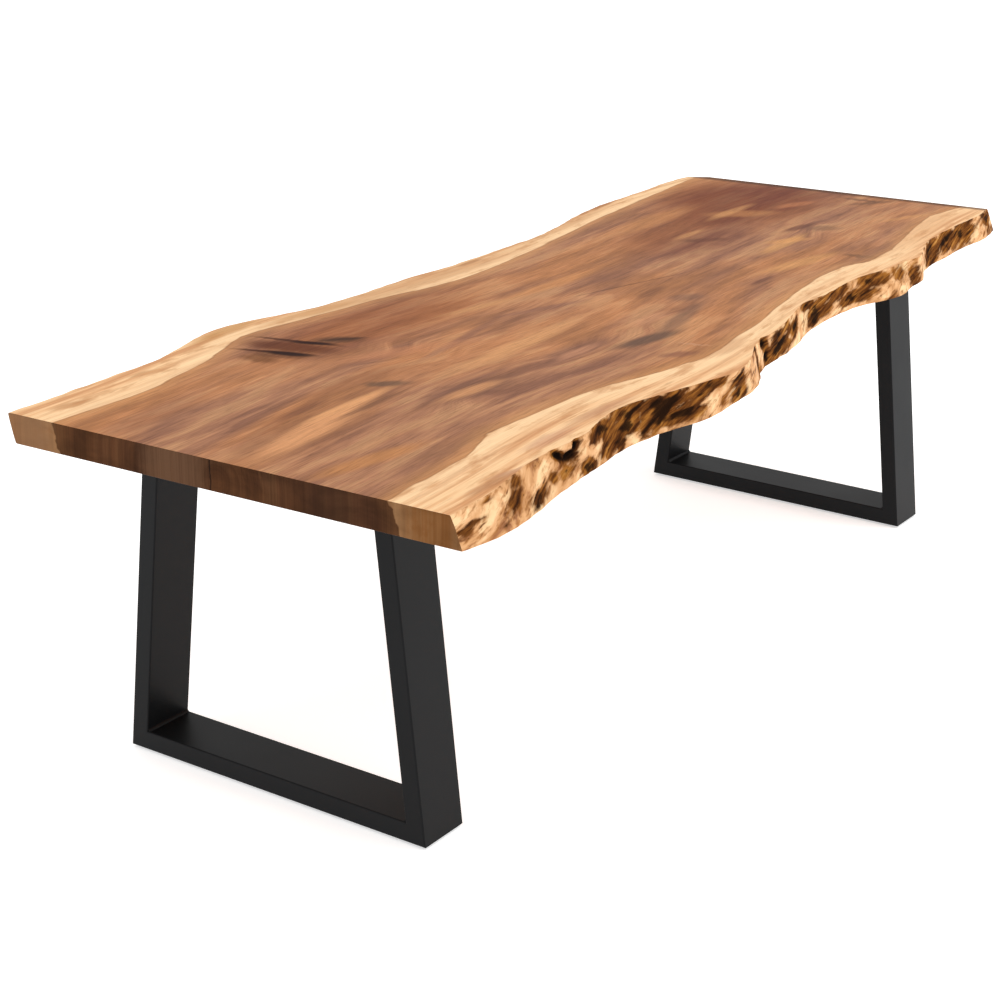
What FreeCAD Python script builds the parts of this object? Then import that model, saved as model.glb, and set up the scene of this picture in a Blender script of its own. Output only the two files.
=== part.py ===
"""Live edge dining table: one thick wooden slab on two steel trapezoid frames.

+X runs along the table, +Y towards the back live edge, +Z up. The origin lies on the floor,
under the middle of the slab's bounding box. All sizes are in millimetres and degrees.
"""
import FreeCAD, Part
import math
import os
import Sketcher

Vector = FreeCAD.Vector
Rotation = FreeCAD.Rotation
X_AXIS = Vector(1, 0, 0)
Z_AXIS = Vector(0, 0, 1)

# Driving dimensions. Each one is a cell of the sheet "Sizes", under the same name.
DIMENSIONS = {
    # the slab
    "table_height": 760.0,
    "slab_length": 2782.0,
    "slab_thickness": 57.0,
    "back_reach": 493.0,          # mean back live edge, from the table's middle line
    "front_reach": 437.0,         # mean front live edge, from the table's middle line
    "back_undercut": 14.0,        # the back edge leans inwards to the underside by this much
    "left_end_turn": 1.9,         # degrees that each sawn end is out of square
    "right_end_turn": 4.2,
    # the two frames, welded from rectangular tube
    "left_overhang": 228.0,       # end of the slab to the outer face of the frame
    "right_overhang": 371.0,
    "frame_shift": 40.0,          # the frames' middle, behind the table's middle line
    "foot_half_width": 369.0,     # at the bottom of the floor rail
    "post_lean": 6.5,             # degrees from upright
    "tube_depth": 120.0,          # along the table
    "tube_thickness": 40.0,
    "tube_wall": 3.0,
    "tube_corner": 3.0,           # outside corner radius of the tube
    "weld_leg": 5.0,
    # top plates
    "plate_reach": 20.0,          # beyond the outer faces of the posts
    "plate_setback": 2.0,         # from the tube's edges, for the weld
    "plate_thickness": 8.0,
    "bolt_setback": 60.0,         # from a post's inner face to the outer bolt rows
    "bolt_gauge": 70.0,           # between the two bolts of a row, along the slab
    "slot_travel": 14.0,          # straight part of a slot: the slab swells and shrinks
    "slot_width": 9.0,
    # button head bolts, washers and the threaded inserts in the slab
    "bolt_diameter": 8.0,
    "bolt_grip": 18.0,            # engaged length in the insert
    "head_diameter": 14.0,
    "head_height": 4.4,
    "socket_flats": 5.0,
    "socket_depth": 2.6,
    "washer_diameter": 17.0,
    "washer_thickness": 1.6,
    "washer_clearance": 0.4,      # between the washer's hole and the bolt, all round
    "insert_diameter": 12.0,
    "insert_length": 20.0,
    "insert_hole_spare": 6.0,     # the hole in the slab is deeper than the insert
    "thread_clearance": 0.05,     # radial, between a thread and its nut
    # levelling glides under the floor rails
    "glide_inset": 60.0,          # from the end of the rail to the glide's axis
    "pad_diameter": 30.0,
    "pad_thickness": 4.0,
    "pad_clearance": 0.2,         # between the pad and the nut's flange, screwed right in
    "stud_length": 30.0,
    "stud_embed": 2.5,            # moulded into the pad
    "nut_diameter": 11.0,
    "nut_flange_diameter": 16.0,
    "nut_flange_thickness": 1.5,
    "nut_length": 15.0,           # above the flange
    "nut_bulge_diameter": 14.0,
    "nut_bulge_height": 4.0,
}

# Each live edge is a spline. A point is (where along the slab, as a share of its half length;
# how far the edge stands out there from its mean line, in mm).
BACK_EDGE = (
    (-0.884, -43), (-0.759, -31), (-0.698, -23), (-0.666, -13), (-0.601, 15), (-0.542, 34),
    (-0.482, 32), (-0.410, 7), (-0.324, -18), (-0.208, -24), (-0.095, -19), (0.007, -28),
    (0.133, -22), (0.259, -20), (0.342, -4), (0.443, 26), (0.549, 56), (0.700, 62), (0.848, 72),
)
BACK_CORNERS = (-49, 62)          # at the left and the right end
# On the front edge the bark face slopes outwards, so each point has two stand-outs:
# at the top face and at the underside.
FRONT_EDGE = (
    (-0.842, 72, 121), (-0.734, 47, 91), (-0.626, 43, 71), (-0.518, 14, 57), (-0.439, 28, 74),
    (-0.375, 45, 90), (-0.274, 73, 84), (-0.188, 48, 65), (-0.130, 13, 27), (-0.008, -13, 1),
    (0.125, -60, -39), (0.244, -62, -52), (0.323, -72, -43), (0.423, -53, -10),
    (0.495, -49, -23), (0.549, -42, -31), (0.600, -65, -61), (0.682, -94, -77),
    (0.787, -108, -87), (0.906, -109, -86),
)
FRONT_LEFT_CORNER = (91, 116)
FRONT_RIGHT_CORNER = (-127, -105)

doc = FreeCAD.newDocument("LiveEdgeDiningTable")
sheet = doc.addObject("Spreadsheet::Sheet", "Sizes")
for row, (name, value) in enumerate(DIMENSIONS.items(), start=1):
    sheet.set(f"A{row}", name)
    sheet.set(f"B{row}", str(value))
    sheet.setAlias(f"B{row}", name)
doc.recompute()


def size(name):
    """Value of one cell of the sheet."""
    return float(sheet.get(name))


# Heights and places that follow from the driving dimensions.
slab_underside = size("table_height") - size("slab_thickness")
plate_underside = slab_underside - size("plate_thickness")
flange_underside = size("pad_thickness") + size("pad_clearance")
rail_underside = flange_underside + size("nut_flange_thickness")
half_length = size("slab_length") / 2
half_tube = size("tube_thickness") / 2
lean = math.radians(size("post_lean"))
mitre_run = size("tube_thickness") * math.tan(math.radians(45) + lean / 2)
post_outside = (plate_underside - rail_underside) / math.cos(lean)
post_top_run = size("tube_thickness") * math.tan(lean)
top_outside = size("foot_half_width") - post_outside * math.sin(lean)
top_inside = top_outside - size("tube_thickness") / math.cos(lean)
frame_middles = {
    "left": -half_length + size("left_overhang") + size("tube_depth") / 2,
    "right": half_length - size("right_overhang") - size("tube_depth") / 2,
}

# The same relations for expressions. A mitre runs this far along the tube, from its outer face
# to its inner face; a post's top is sawn level, so its inner face is longer than its outer one.
MITRE_RUN = "Sizes.tube_thickness * tan(45 + Sizes.post_lean / 2)"
RAIL_UNDERSIDE = "(Sizes.pad_thickness + Sizes.pad_clearance + Sizes.nut_flange_thickness)"
PLATE_UNDERSIDE = "(Sizes.table_height - Sizes.slab_thickness - Sizes.plate_thickness)"
POST_OUTSIDE = f"({PLATE_UNDERSIDE} - {RAIL_UNDERSIDE}) / cos(Sizes.post_lean)"
POST_TOP_RUN = "Sizes.tube_thickness * tan(Sizes.post_lean)"
TOP_OUTSIDE = f"(Sizes.foot_half_width - ({POST_OUTSIDE}) * sin(Sizes.post_lean))"

exported = []                     # every sub-part that gets a STEP file


def export_later(sub_part, label):
    """Give a sub-part its label and list it for export."""
    sub_part.Label = label
    exported.append(sub_part)
    return sub_part


def add(kind, name, **expressions):
    """New object whose named properties are bound to the sheet."""
    item = doc.addObject(kind, name)
    for prop, formula in expressions.items():
        item.setExpression(prop, formula)
    return item


def cut(name, base, tool):
    """Part::Cut of tool from base."""
    item = doc.addObject("Part::Cut", name)
    item.Base = base
    item.Tool = tool
    return item


def fuse(name, shapes):
    """Part::MultiFuse of several objects."""
    item = doc.addObject("Part::MultiFuse", name)
    item.Shapes = shapes
    return item


def origin_plane(body, role):
    """One of the body's own three base planes, such as XY_Plane."""
    return next(feature for feature in body.Origin.OriginFeatures if feature.Role == role)


def new_sketch(body, name, role):
    """Sketch on one of the body's base planes."""
    sketch = body.newObject("Sketcher::SketchObject", name)
    sketch.AttachmentSupport = [(origin_plane(body, role), "")]
    sketch.MapMode = "FlatFace"
    return sketch


def closed_outline(sketch, corners):
    """Closed chain of lines through the corners; returns the lines' numbers."""
    lines = []
    for start, end in zip(corners, corners[1:] + corners[:1]):
        lines.append(sketch.addGeometry(Part.LineSegment(Vector(*start, 0), Vector(*end, 0))))
    for line, following in zip(lines, lines[1:] + lines[:1]):
        sketch.addConstraint(Sketcher.Constraint("Coincident", line, 2, following, 1))
    return lines


def name_distance(sketch, direction, line, point, name, value, formula):
    """Dimension from the origin to one end of a line, bound to the sheet."""
    number = sketch.addConstraint(
        Sketcher.Constraint(direction, -1, 1, line, point, value))
    sketch.renameConstraint(number, name)
    sketch.setExpression(f"Constraints.{name}", formula)


def centred_rectangle(sketch, name, width, height, width_formula, height_formula):
    """Rectangle about the origin, with its two half sizes bound to the sheet."""
    half_w, half_h = width / 2, height / 2
    corners = [(-half_w, -half_h), (half_w, -half_h), (half_w, half_h), (-half_w, half_h)]
    lines = closed_outline(sketch, corners)
    for line in (lines[0], lines[2]):
        sketch.addConstraint(Sketcher.Constraint("Horizontal", line))
    for line in (lines[1], lines[3]):
        sketch.addConstraint(Sketcher.Constraint("Vertical", line))
    sketch.addConstraint(Sketcher.Constraint("Symmetric", lines[0], 1, lines[2], 1, -1, 1))
    name_distance(sketch, "DistanceX", lines[2], 1, f"{name}_half_width", half_w,
                  f"({width_formula}) / 2")
    name_distance(sketch, "DistanceY", lines[2], 1, f"{name}_half_height", half_h,
                  f"({height_formula}) / 2")


def tube(name, length_formula, midplane):
    """Body of rectangular tube along its own Z: X is its depth, Y its thickness."""
    body = doc.addObject("PartDesign::Body", name)
    section = new_sketch(body, f"{name}_section", "XY_Plane")
    depth, thickness, wall = size("tube_depth"), size("tube_thickness"), size("tube_wall")
    centred_rectangle(section, "outside", depth, thickness,
                      "Sizes.tube_depth", "Sizes.tube_thickness")
    centred_rectangle(section, "inside", depth - 2 * wall, thickness - 2 * wall,
                      "Sizes.tube_depth - 2 * Sizes.tube_wall",
                      "Sizes.tube_thickness - 2 * Sizes.tube_wall")
    pad = body.newObject("PartDesign::Pad", f"{name}_bar")
    pad.Profile = section
    pad.Midplane = midplane
    pad.setExpression("Length", length_formula)
    doc.recompute()
    outer_edges = []
    for number, edge in enumerate(pad.Shape.Edges, start=1):
        start, end = edge.firstVertex().Point, edge.lastVertex().Point
        runs_along = abs(start.z - end.z) > depth
        if runs_along and abs(abs(start.x) - depth / 2) < size("tube_wall") / 2:
            outer_edges.append(f"Edge{number}")
    corner = body.newObject("PartDesign::Fillet", f"{name}_corners")
    corner.Base = (pad, outer_edges)
    corner.setExpression("Radius", "Sizes.tube_corner")
    body.Tip = corner
    doc.recompute()
    return body


def saw_off(body, name, near, far, near_formulas, far_formulas, waste):
    """Saw one end of a tube along the line near-far of its side view (Y, Z).

    near and far are points on the two broad faces; waste is a Z that lies beyond the bar's end.
    """
    before = body.Shape.Volume
    sketch = new_sketch(body, name, "YZ_Plane")
    lines = closed_outline(sketch, [near, far, (far[0], waste), (near[0], waste)])
    sketch.addConstraint(Sketcher.Constraint("Vertical", lines[1]))
    sketch.addConstraint(Sketcher.Constraint("Horizontal", lines[2]))
    sketch.addConstraint(Sketcher.Constraint("Vertical", lines[3]))
    name_distance(sketch, "DistanceX", lines[0], 1, "near_face", near[0], near_formulas[0])
    name_distance(sketch, "DistanceY", lines[0], 1, "near_run", near[1], near_formulas[1])
    name_distance(sketch, "DistanceX", lines[0], 2, "far_face", far[0], far_formulas[0])
    name_distance(sketch, "DistanceY", lines[0], 2, "far_run", far[1], far_formulas[1])
    number = sketch.addConstraint(Sketcher.Constraint("DistanceY", -1, 1, lines[2], 1, waste))
    sketch.renameConstraint(number, "waste")
    pocket = body.newObject("PartDesign::Pocket", f"{name}_cut")
    pocket.Profile = sketch
    pocket.Midplane = True
    pocket.Type = "Length"
    pocket.setExpression("Length", "2 * Sizes.tube_depth")
    body.Tip = pocket
    doc.recompute()
    if body.Shape.Volume >= before:
        raise RuntimeError(f"{name} removed nothing")


FACE_PLUS = "Sizes.tube_thickness / 2"
FACE_MINUS = "-Sizes.tube_thickness / 2"
saw_waste = size("tube_thickness")


def floor_rail(side, middle):
    """Bottom rail of one frame: a tube across the table with both ends mitred."""
    name = f"{side}_floor_rail"
    end = size("foot_half_width")
    rail = tube(name, "2 * Sizes.foot_half_width", True)
    for ending, sign in (("back", 1), ("front", -1)):
        turn = "" if sign > 0 else "-"
        saw_off(rail, f"{name}_{ending}_mitre",
                (half_tube, sign * end), (-half_tube, sign * (end - mitre_run)),
                (FACE_PLUS, f"{turn}Sizes.foot_half_width"),
                (FACE_MINUS, f"{turn}(Sizes.foot_half_width - {MITRE_RUN})"),
                sign * (end + saw_waste))
    centre = Vector(middle, size("frame_shift"), rail_underside + half_tube)
    rail.Placement = FreeCAD.Placement(centre, Rotation(X_AXIS, -90))
    return rail


def post(side, edge, middle, sign):
    """Leaning post of one frame: mitred to the rail below, sawn level under the plate."""
    name = f"{side}_{edge}_post"
    bar = tube(name, f"{POST_OUTSIDE} + {POST_TOP_RUN}", False)
    saw_off(bar, f"{name}_mitre",
            (half_tube, 0), (-half_tube, mitre_run),
            (FACE_PLUS, "0"), (FACE_MINUS, MITRE_RUN), -saw_waste)
    saw_off(bar, f"{name}_level_top",
            (half_tube, post_outside), (-half_tube, post_outside + post_top_run),
            (FACE_PLUS, POST_OUTSIDE), (FACE_MINUS, f"{POST_OUTSIDE} + {POST_TOP_RUN}"),
            post_outside + post_top_run + saw_waste)
    foot = Vector(0, size("foot_half_width") - half_tube * math.cos(lean),
                  rail_underside - half_tube * math.sin(lean))
    upright = FreeCAD.Placement(foot, Rotation(X_AXIS, size("post_lean")))
    turned = FreeCAD.Placement(Vector(middle, size("frame_shift"), 0),
                               Rotation(Z_AXIS, 0 if sign > 0 else 180))
    bar.Placement = turned.multiply(upright)
    return bar


def nut_holes(rail, side):
    """Two holes through the rail's bottom wall, for the rivet nuts of the glides."""
    sketch = new_sketch(rail, f"{side}_nut_places", "XZ_Plane")
    reach = size("foot_half_width") - size("glide_inset")
    radius = size("nut_diameter") / 2
    for ending, sign in (("back", 1), ("front", -1)):
        turn = "" if sign > 0 else "-"
        hole = sketch.addGeometry(Part.Circle(Vector(0, sign * reach, 0), Z_AXIS, radius))
        number = sketch.addConstraint(Sketcher.Constraint("Radius", hole, radius))
        sketch.renameConstraint(number, f"{ending}_radius")
        sketch.setExpression(f"Constraints.{ending}_radius", "Sizes.nut_diameter / 2")
        sketch.addConstraint(Sketcher.Constraint("PointOnObject", hole, 3, -2))
        name_distance(sketch, "DistanceY", hole, 3, f"{ending}_reach", sign * reach,
                      f"{turn}(Sizes.foot_half_width - Sizes.glide_inset)")
    before = rail.Shape.Volume
    pocket = rail.newObject("PartDesign::Pocket", f"{side}_nut_holes")
    pocket.Profile = sketch
    pocket.Type = "Length"
    pocket.setExpression("Length", "Sizes.tube_thickness")
    rail.Tip = pocket
    doc.recompute()
    removed = before - rail.Shape.Volume
    expected = 2 * math.pi * radius ** 2 * size("tube_wall")
    bottom_wall = rail.Placement.multVec(Vector(0, half_tube - size("tube_wall") / 2, reach))
    if abs(removed - expected) > 1 or rail.Shape.isInside(bottom_wall, size("tube_wall") / 4, True):
        raise RuntimeError(f"{side} nut holes aren't in the bottom wall")


def bolt_places(side):
    """Bolt axes of one frame: (x, y, is the row slotted)."""
    middle = frame_middles[side]
    row_reach = top_inside - size("bolt_setback")
    places = []
    for row in (-1, 0, 1):
        for column in (-1, 1):
            places.append((middle + column * size("bolt_gauge") / 2,
                           size("frame_shift") + row * row_reach, row != 0))
    return places


def top_plate(side):
    """Flat steel plate under the slab: the middle bolt row is round, the outer rows slotted."""
    name = f"{side}_top_plate"
    plate = add("Part::Box", f"{name}_blank",
                Length="Sizes.tube_depth - 2 * Sizes.plate_setback",
                Width=f"2 * ({TOP_OUTSIDE} + Sizes.plate_reach)", Height="Sizes.plate_thickness")
    half_width = size("tube_depth") / 2 - size("plate_setback")
    plate.Placement.Base = Vector(frame_middles[side] - half_width,
                                  size("frame_shift") - top_outside - size("plate_reach"),
                                  plate_underside)
    tools = []
    for number, (x, y, slotted) in enumerate(bolt_places(side), start=1):
        travel = size("slot_travel") / 2 if slotted else 0
        for end in ((-1, 1) if slotted else (0,)):
            drill = add("Part::Cylinder", f"{name}_drill_{number}",
                        Radius="Sizes.slot_width / 2", Height="Sizes.plate_thickness")
            drill.Placement.Base = Vector(x, y + end * travel, plate_underside)
            tools.append(drill)
        if slotted:
            mill = add("Part::Box", f"{name}_mill_{number}", Length="Sizes.slot_width",
                       Width="Sizes.slot_travel", Height="Sizes.plate_thickness")
            mill.Placement.Base = Vector(x - size("slot_width") / 2, y - travel, plate_underside)
            tools.append(mill)
    return cut(name, plate, fuse(f"{name}_slots", tools))


def weld_bead(corner, first_way, second_way):
    """Fillet weld along X in the corner between two faces, with a slightly rounded face."""
    leg = size("weld_leg")
    rounding = 0.55               # of the leg: just outside the straight line between the toes
    toe_a = corner + first_way * leg
    toe_b = corner + second_way * leg
    crown = corner + (first_way + second_way) * (leg * rounding)
    outline = Part.Wire([Part.LineSegment(corner, toe_a).toShape(),
                         Part.Arc(toe_a, crown, toe_b).toShape(),
                         Part.LineSegment(toe_b, corner).toShape()])
    length = size("tube_depth") - 2 * size("tube_corner")
    return Part.Face(outline).extrude(X_AXIS * length)


def frame_welds(side):
    """Six beads: rail to post inside, and post to plate on both broad faces, on both sides."""
    inward = Vector(0, -1, 0)
    up_post = Vector(0, -math.sin(lean), math.cos(lean))
    start_x = -size("tube_depth") / 2 + size("tube_corner")
    foot = size("foot_half_width")
    rail_top = rail_underside + size("tube_thickness")
    beads = [
        weld_bead(Vector(start_x, foot - mitre_run, rail_top), inward, up_post),
        weld_bead(Vector(start_x, top_inside, plate_underside), inward, up_post * -1),
        weld_bead(Vector(start_x, top_outside, plate_underside), inward * -1, up_post * -1),
    ]
    both_sides = []
    for bead in beads:
        mirrored = bead.copy()
        mirrored.rotate(Vector(0, 0, 0), Z_AXIS, 180)
        both_sides.extend((bead, mirrored))
    feature = doc.addObject("Part::Feature", f"{side}_frame_welds")
    feature.Shape = Part.makeCompound(both_sides)
    feature.Placement = FreeCAD.Placement(
        Vector(frame_middles[side], size("frame_shift"), 0), Rotation())
    return feature


def bolt_master():
    """Button head bolt: bearing face at z = 0, head below it, shank above."""
    shank = add("Part::Cylinder", "bolt_shank", Radius="Sizes.bolt_diameter / 2",
                Height="Sizes.washer_thickness + Sizes.plate_thickness + Sizes.bolt_grip")
    dome = "(Sizes.head_diameter ^ 2 / 4 + Sizes.head_height ^ 2) / (2 * Sizes.head_height)"
    head = add("Part::Sphere", "bolt_head", Radius=dome,
               Angle1=f"asin(1 - Sizes.head_height / ({dome}))")
    dome_radius = (size("head_diameter") ** 2 / 4 + size("head_height") ** 2)
    dome_radius /= 2 * size("head_height")
    head.Placement = FreeCAD.Placement(Vector(0, 0, dome_radius - size("head_height")),
                                       Rotation(X_AXIS, 180))
    socket = add("Part::Prism", "bolt_socket", Circumradius="Sizes.socket_flats / sqrt(3)",
                 Height="Sizes.socket_depth")
    socket.Placement.Base = Vector(0, 0, -size("head_height"))
    return cut("bolt_master", fuse("bolt_blank", [shank, head]), socket)


def ring_master(name, outer, bore, height):
    """Round ring standing on z = 0, from three formulas."""
    outside = add("Part::Cylinder", f"{name}_outside", Radius=f"({outer}) / 2", Height=height)
    inside = add("Part::Cylinder", f"{name}_inside", Radius=f"({bore}) / 2", Height=height)
    return cut(name, outside, inside)


def rivet_nut_master():
    """Rivet nut: flange under the rail's wall (its top at z = 0), bulge pressed above the wall."""
    flange = add("Part::Cylinder", "nut_flange", Radius="Sizes.nut_flange_diameter / 2",
                 Height="Sizes.nut_flange_thickness")
    flange.Placement.Base = Vector(0, 0, -size("nut_flange_thickness"))
    barrel = add("Part::Cylinder", "nut_barrel", Radius="Sizes.nut_diameter / 2",
                 Height="Sizes.nut_length")
    bulge = add("Part::Cone", "nut_bulge", Radius1="Sizes.nut_bulge_diameter / 2",
                Radius2="Sizes.nut_diameter / 2", Height="Sizes.nut_bulge_height")
    bulge.Placement.Base = Vector(0, 0, size("tube_wall"))
    bore = add("Part::Cylinder", "nut_bore",
               Radius="Sizes.bolt_diameter / 2 + Sizes.thread_clearance",
               Height="Sizes.nut_flange_thickness + Sizes.nut_length")
    bore.Placement.Base = Vector(0, 0, -size("nut_flange_thickness"))
    return cut("rivet_nut_master", fuse("nut_blank", [flange, barrel, bulge]), bore)


def group(name, master, places):
    """Separate copies of one fastener at several places, as one node."""
    copies = []
    for place in places:
        copy = master.Shape.copy()
        copy.translate(place)
        copies.append(copy)
    feature = doc.addObject("Part::Feature", name)
    feature.Shape = Part.makeCompound(copies)
    return feature


def glide(side, edge, place):
    """Levelling glide: a nylon pad on the floor with a threaded steel stud moulded into it."""
    disc = add("Part::Cylinder", f"{side}_{edge}_pad_disc", Radius="Sizes.pad_diameter / 2",
               Height="Sizes.pad_thickness")
    recess = add("Part::Cylinder", f"{side}_{edge}_pad_recess", Radius="Sizes.bolt_diameter / 2",
                 Height="Sizes.stud_embed")
    recess.Placement.Base = Vector(0, 0, size("pad_thickness") - size("stud_embed"))
    pad = cut(f"{side}_{edge}_glide_pad", disc, recess)
    pad.Placement.Base = place
    stud = add("Part::Cylinder", f"{side}_{edge}_glide_stud", Radius="Sizes.bolt_diameter / 2",
               Height="Sizes.stud_length")
    stud.Placement.Base = place + Vector(0, 0, size("pad_thickness") - size("stud_embed"))
    return pad, stud


def back_edge_points(undercut):
    """Points of the back live edge from left to right, as (x, y)."""
    points = [(share * half_length, size("back_reach") + stand_out - undercut)
              for share, stand_out in BACK_EDGE]
    left_y, right_y = (size("back_reach") + stand_out - undercut for stand_out in BACK_CORNERS)
    return [(left_end_x(left_y), left_y)] + points + [(right_end_x(right_y), right_y)]


def front_edge_points(level):
    """Points of the front live edge from right to left; level 0 is the top, 1 the underside."""
    points = [(share * half_length, -size("front_reach") - stand_outs[level])
              for share, *stand_outs in FRONT_EDGE]
    left_y = -size("front_reach") - FRONT_LEFT_CORNER[level]
    right_y = -size("front_reach") - FRONT_RIGHT_CORNER[level]
    return [(right_end_x(right_y), right_y)] + points[::-1] + [(left_end_x(left_y), left_y)]


def left_end_x(y):
    """Where the left saw cut crosses y: its back corner is the slab's furthest point."""
    furthest_y = size("back_reach") + BACK_CORNERS[0]
    return -half_length + (furthest_y - y) * math.tan(math.radians(size("left_end_turn")))


def right_end_x(y):
    """Where the right saw cut crosses y: its front corner is the slab's furthest point."""
    furthest_y = -size("front_reach") - FRONT_RIGHT_CORNER[1]
    return half_length - (y - furthest_y) * math.tan(math.radians(size("right_end_turn")))


def slab_outline(name, level, height):
    """Outline of the slab at one height: two sawn ends and two live edges."""
    undercut = size("back_undercut") * level
    back = [Vector(x, y, height) for x, y in back_edge_points(undercut)]
    front = [Vector(x, y, height) for x, y in front_edge_points(level)]
    back_curve, front_curve = Part.BSplineCurve(), Part.BSplineCurve()
    back_curve.interpolate(back)
    front_curve.interpolate(front)
    outline = doc.addObject("Part::Feature", name)
    outline.Shape = Part.Wire([
        back_curve.toShape(), Part.LineSegment(back[-1], front[0]).toShape(),
        front_curve.toShape(), Part.LineSegment(front[-1], back[0]).toShape()])
    return outline


def live_edge_slab():
    """The slab, between its two outlines, with blind holes for the threaded inserts."""
    plank = doc.addObject("Part::Loft", "slab_plank")
    plank.Sections = [slab_outline("slab_underside", 1, slab_underside),
                      slab_outline("slab_top", 0, size("table_height"))]
    plank.Solid = True
    plank.Ruled = True
    drills = []
    for side in frame_middles:
        for number, (x, y, _) in enumerate(bolt_places(side), start=1):
            drill = add("Part::Cylinder", f"{side}_insert_drill_{number}",
                        Radius="Sizes.insert_diameter / 2",
                        Height="Sizes.insert_length + Sizes.insert_hole_spare")
            drill.Placement.Base = Vector(x, y, slab_underside)
            drills.append(drill)
    return cut("live_edge_slab", plank, fuse("insert_holes", drills))


bolt = bolt_master()
washer = ring_master("washer_master", "Sizes.washer_diameter",
                     "Sizes.bolt_diameter + 2 * Sizes.washer_clearance", "Sizes.washer_thickness")
insert = ring_master("insert_master", "Sizes.insert_diameter",
                     "Sizes.bolt_diameter + 2 * Sizes.thread_clearance", "Sizes.insert_length")
rivet_nut = rivet_nut_master()
doc.recompute()

export_later(live_edge_slab(), "live_edge_slab")
glide_reach = size("foot_half_width") - size("glide_inset")
for side, middle in frame_middles.items():
    rail = export_later(floor_rail(side, middle), f"{side}_floor_rail")
    nut_holes(rail, side)
    for edge, sign in (("back", 1), ("front", -1)):
        export_later(post(side, edge, middle, sign), f"{side}_{edge}_post")
        place = Vector(middle, size("frame_shift") + sign * glide_reach, 0)
        pad, stud = glide(side, edge, place)
        export_later(pad, f"{side}_{edge}_glide_pad")
        export_later(stud, f"{side}_{edge}_glide_stud")
    export_later(top_plate(side), f"{side}_top_plate")
    export_later(frame_welds(side), f"{side}_frame_welds")
    axes = [(x, y) for x, y, _ in bolt_places(side)]
    bearing = plate_underside - size("washer_thickness")
    export_later(group(f"{side}_plate_bolts", bolt,
                       [Vector(x, y, bearing) for x, y in axes]), f"{side}_plate_bolts")
    export_later(group(f"{side}_plate_washers", washer,
                       [Vector(x, y, bearing) for x, y in axes]), f"{side}_plate_washers")
    export_later(group(f"{side}_thread_inserts", insert,
                       [Vector(x, y, slab_underside) for x, y in axes]), f"{side}_thread_inserts")
    nut_places = [Vector(middle, size("frame_shift") + sign * glide_reach, rail_underside)
                  for sign in (1, -1)]
    export_later(group(f"{side}_rivet_nuts", rivet_nut, nut_places), f"{side}_rivet_nuts")

doc.recompute()
for item in doc.Objects:
    if "Invalid" in item.State or "Error" in item.State:
        raise RuntimeError(f"{item.Label} failed: {item.State}")
for sub_part in exported:
    if sub_part.Shape.isNull() or not sub_part.Shape.isValid():
        raise RuntimeError(f"{sub_part.Label} has no valid shape")

os.makedirs("parts", exist_ok=True)
for sub_part in exported:
    sub_part.Shape.exportStep(f"parts/{sub_part.Label}.step")
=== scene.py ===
"""Looks of the live edge dining table: the dressed slab, the steel frames and the studio."""

import logging
import math
from dataclasses import dataclass, field
from enum import Enum

import bmesh
import bpy
import numpy as np
from mathutils import Matrix, Vector, noise


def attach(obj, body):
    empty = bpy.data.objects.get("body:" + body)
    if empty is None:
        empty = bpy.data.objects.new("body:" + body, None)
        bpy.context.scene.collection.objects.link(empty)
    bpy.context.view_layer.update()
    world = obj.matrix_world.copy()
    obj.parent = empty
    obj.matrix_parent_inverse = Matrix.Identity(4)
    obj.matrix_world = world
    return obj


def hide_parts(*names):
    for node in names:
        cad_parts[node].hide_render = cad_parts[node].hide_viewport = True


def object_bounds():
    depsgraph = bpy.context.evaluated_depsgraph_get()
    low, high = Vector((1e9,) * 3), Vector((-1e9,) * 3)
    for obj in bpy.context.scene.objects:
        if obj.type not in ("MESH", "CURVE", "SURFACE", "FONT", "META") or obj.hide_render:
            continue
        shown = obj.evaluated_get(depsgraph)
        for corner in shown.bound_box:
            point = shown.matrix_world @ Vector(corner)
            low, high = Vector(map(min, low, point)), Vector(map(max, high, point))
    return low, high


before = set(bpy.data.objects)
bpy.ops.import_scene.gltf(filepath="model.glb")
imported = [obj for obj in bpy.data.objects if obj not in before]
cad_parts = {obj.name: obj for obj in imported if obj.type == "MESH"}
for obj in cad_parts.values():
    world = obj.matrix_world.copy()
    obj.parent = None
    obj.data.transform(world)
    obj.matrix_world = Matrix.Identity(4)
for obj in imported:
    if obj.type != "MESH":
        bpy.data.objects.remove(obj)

LOG = logging.getLogger("live_edge_table")
CAD_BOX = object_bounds()

Tree = bpy.types.NodeTree
Socket = bpy.types.NodeSocket
Place = tuple[float, float, float]
Pair = tuple[float, float]
Ramp = tuple[tuple[float, str], ...]

# A smooth step ends by itself, so it needs no clamp.
SOFT_STEP = {"interpolation_type": "SMOOTHSTEP", "clamp": False}
# Noise runs from nought to one, and this centres it.
CENTRING = (-0.5, -0.5, -0.5)
# A pattern stretched over this many metres is even in that direction.
FAR = 1000.0


def linear(hex_colour: str) -> tuple[float, float, float, float]:
    """Turns an sRGB hex colour into the linear values a shader takes.

    Args:
        hex_colour: Six hex digits, such as "A56E4B".

    Returns:
        Linear red, green and blue, with an alpha of one.
    """
    parts = [int(hex_colour[i : i + 2], 16) / 255 for i in (0, 2, 4)]
    lin = [c / 12.92 if c <= 0.04045 else ((c + 0.055) / 1.055) ** 2.4 for c in parts]
    return (lin[0], lin[1], lin[2], 1.0)


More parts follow.
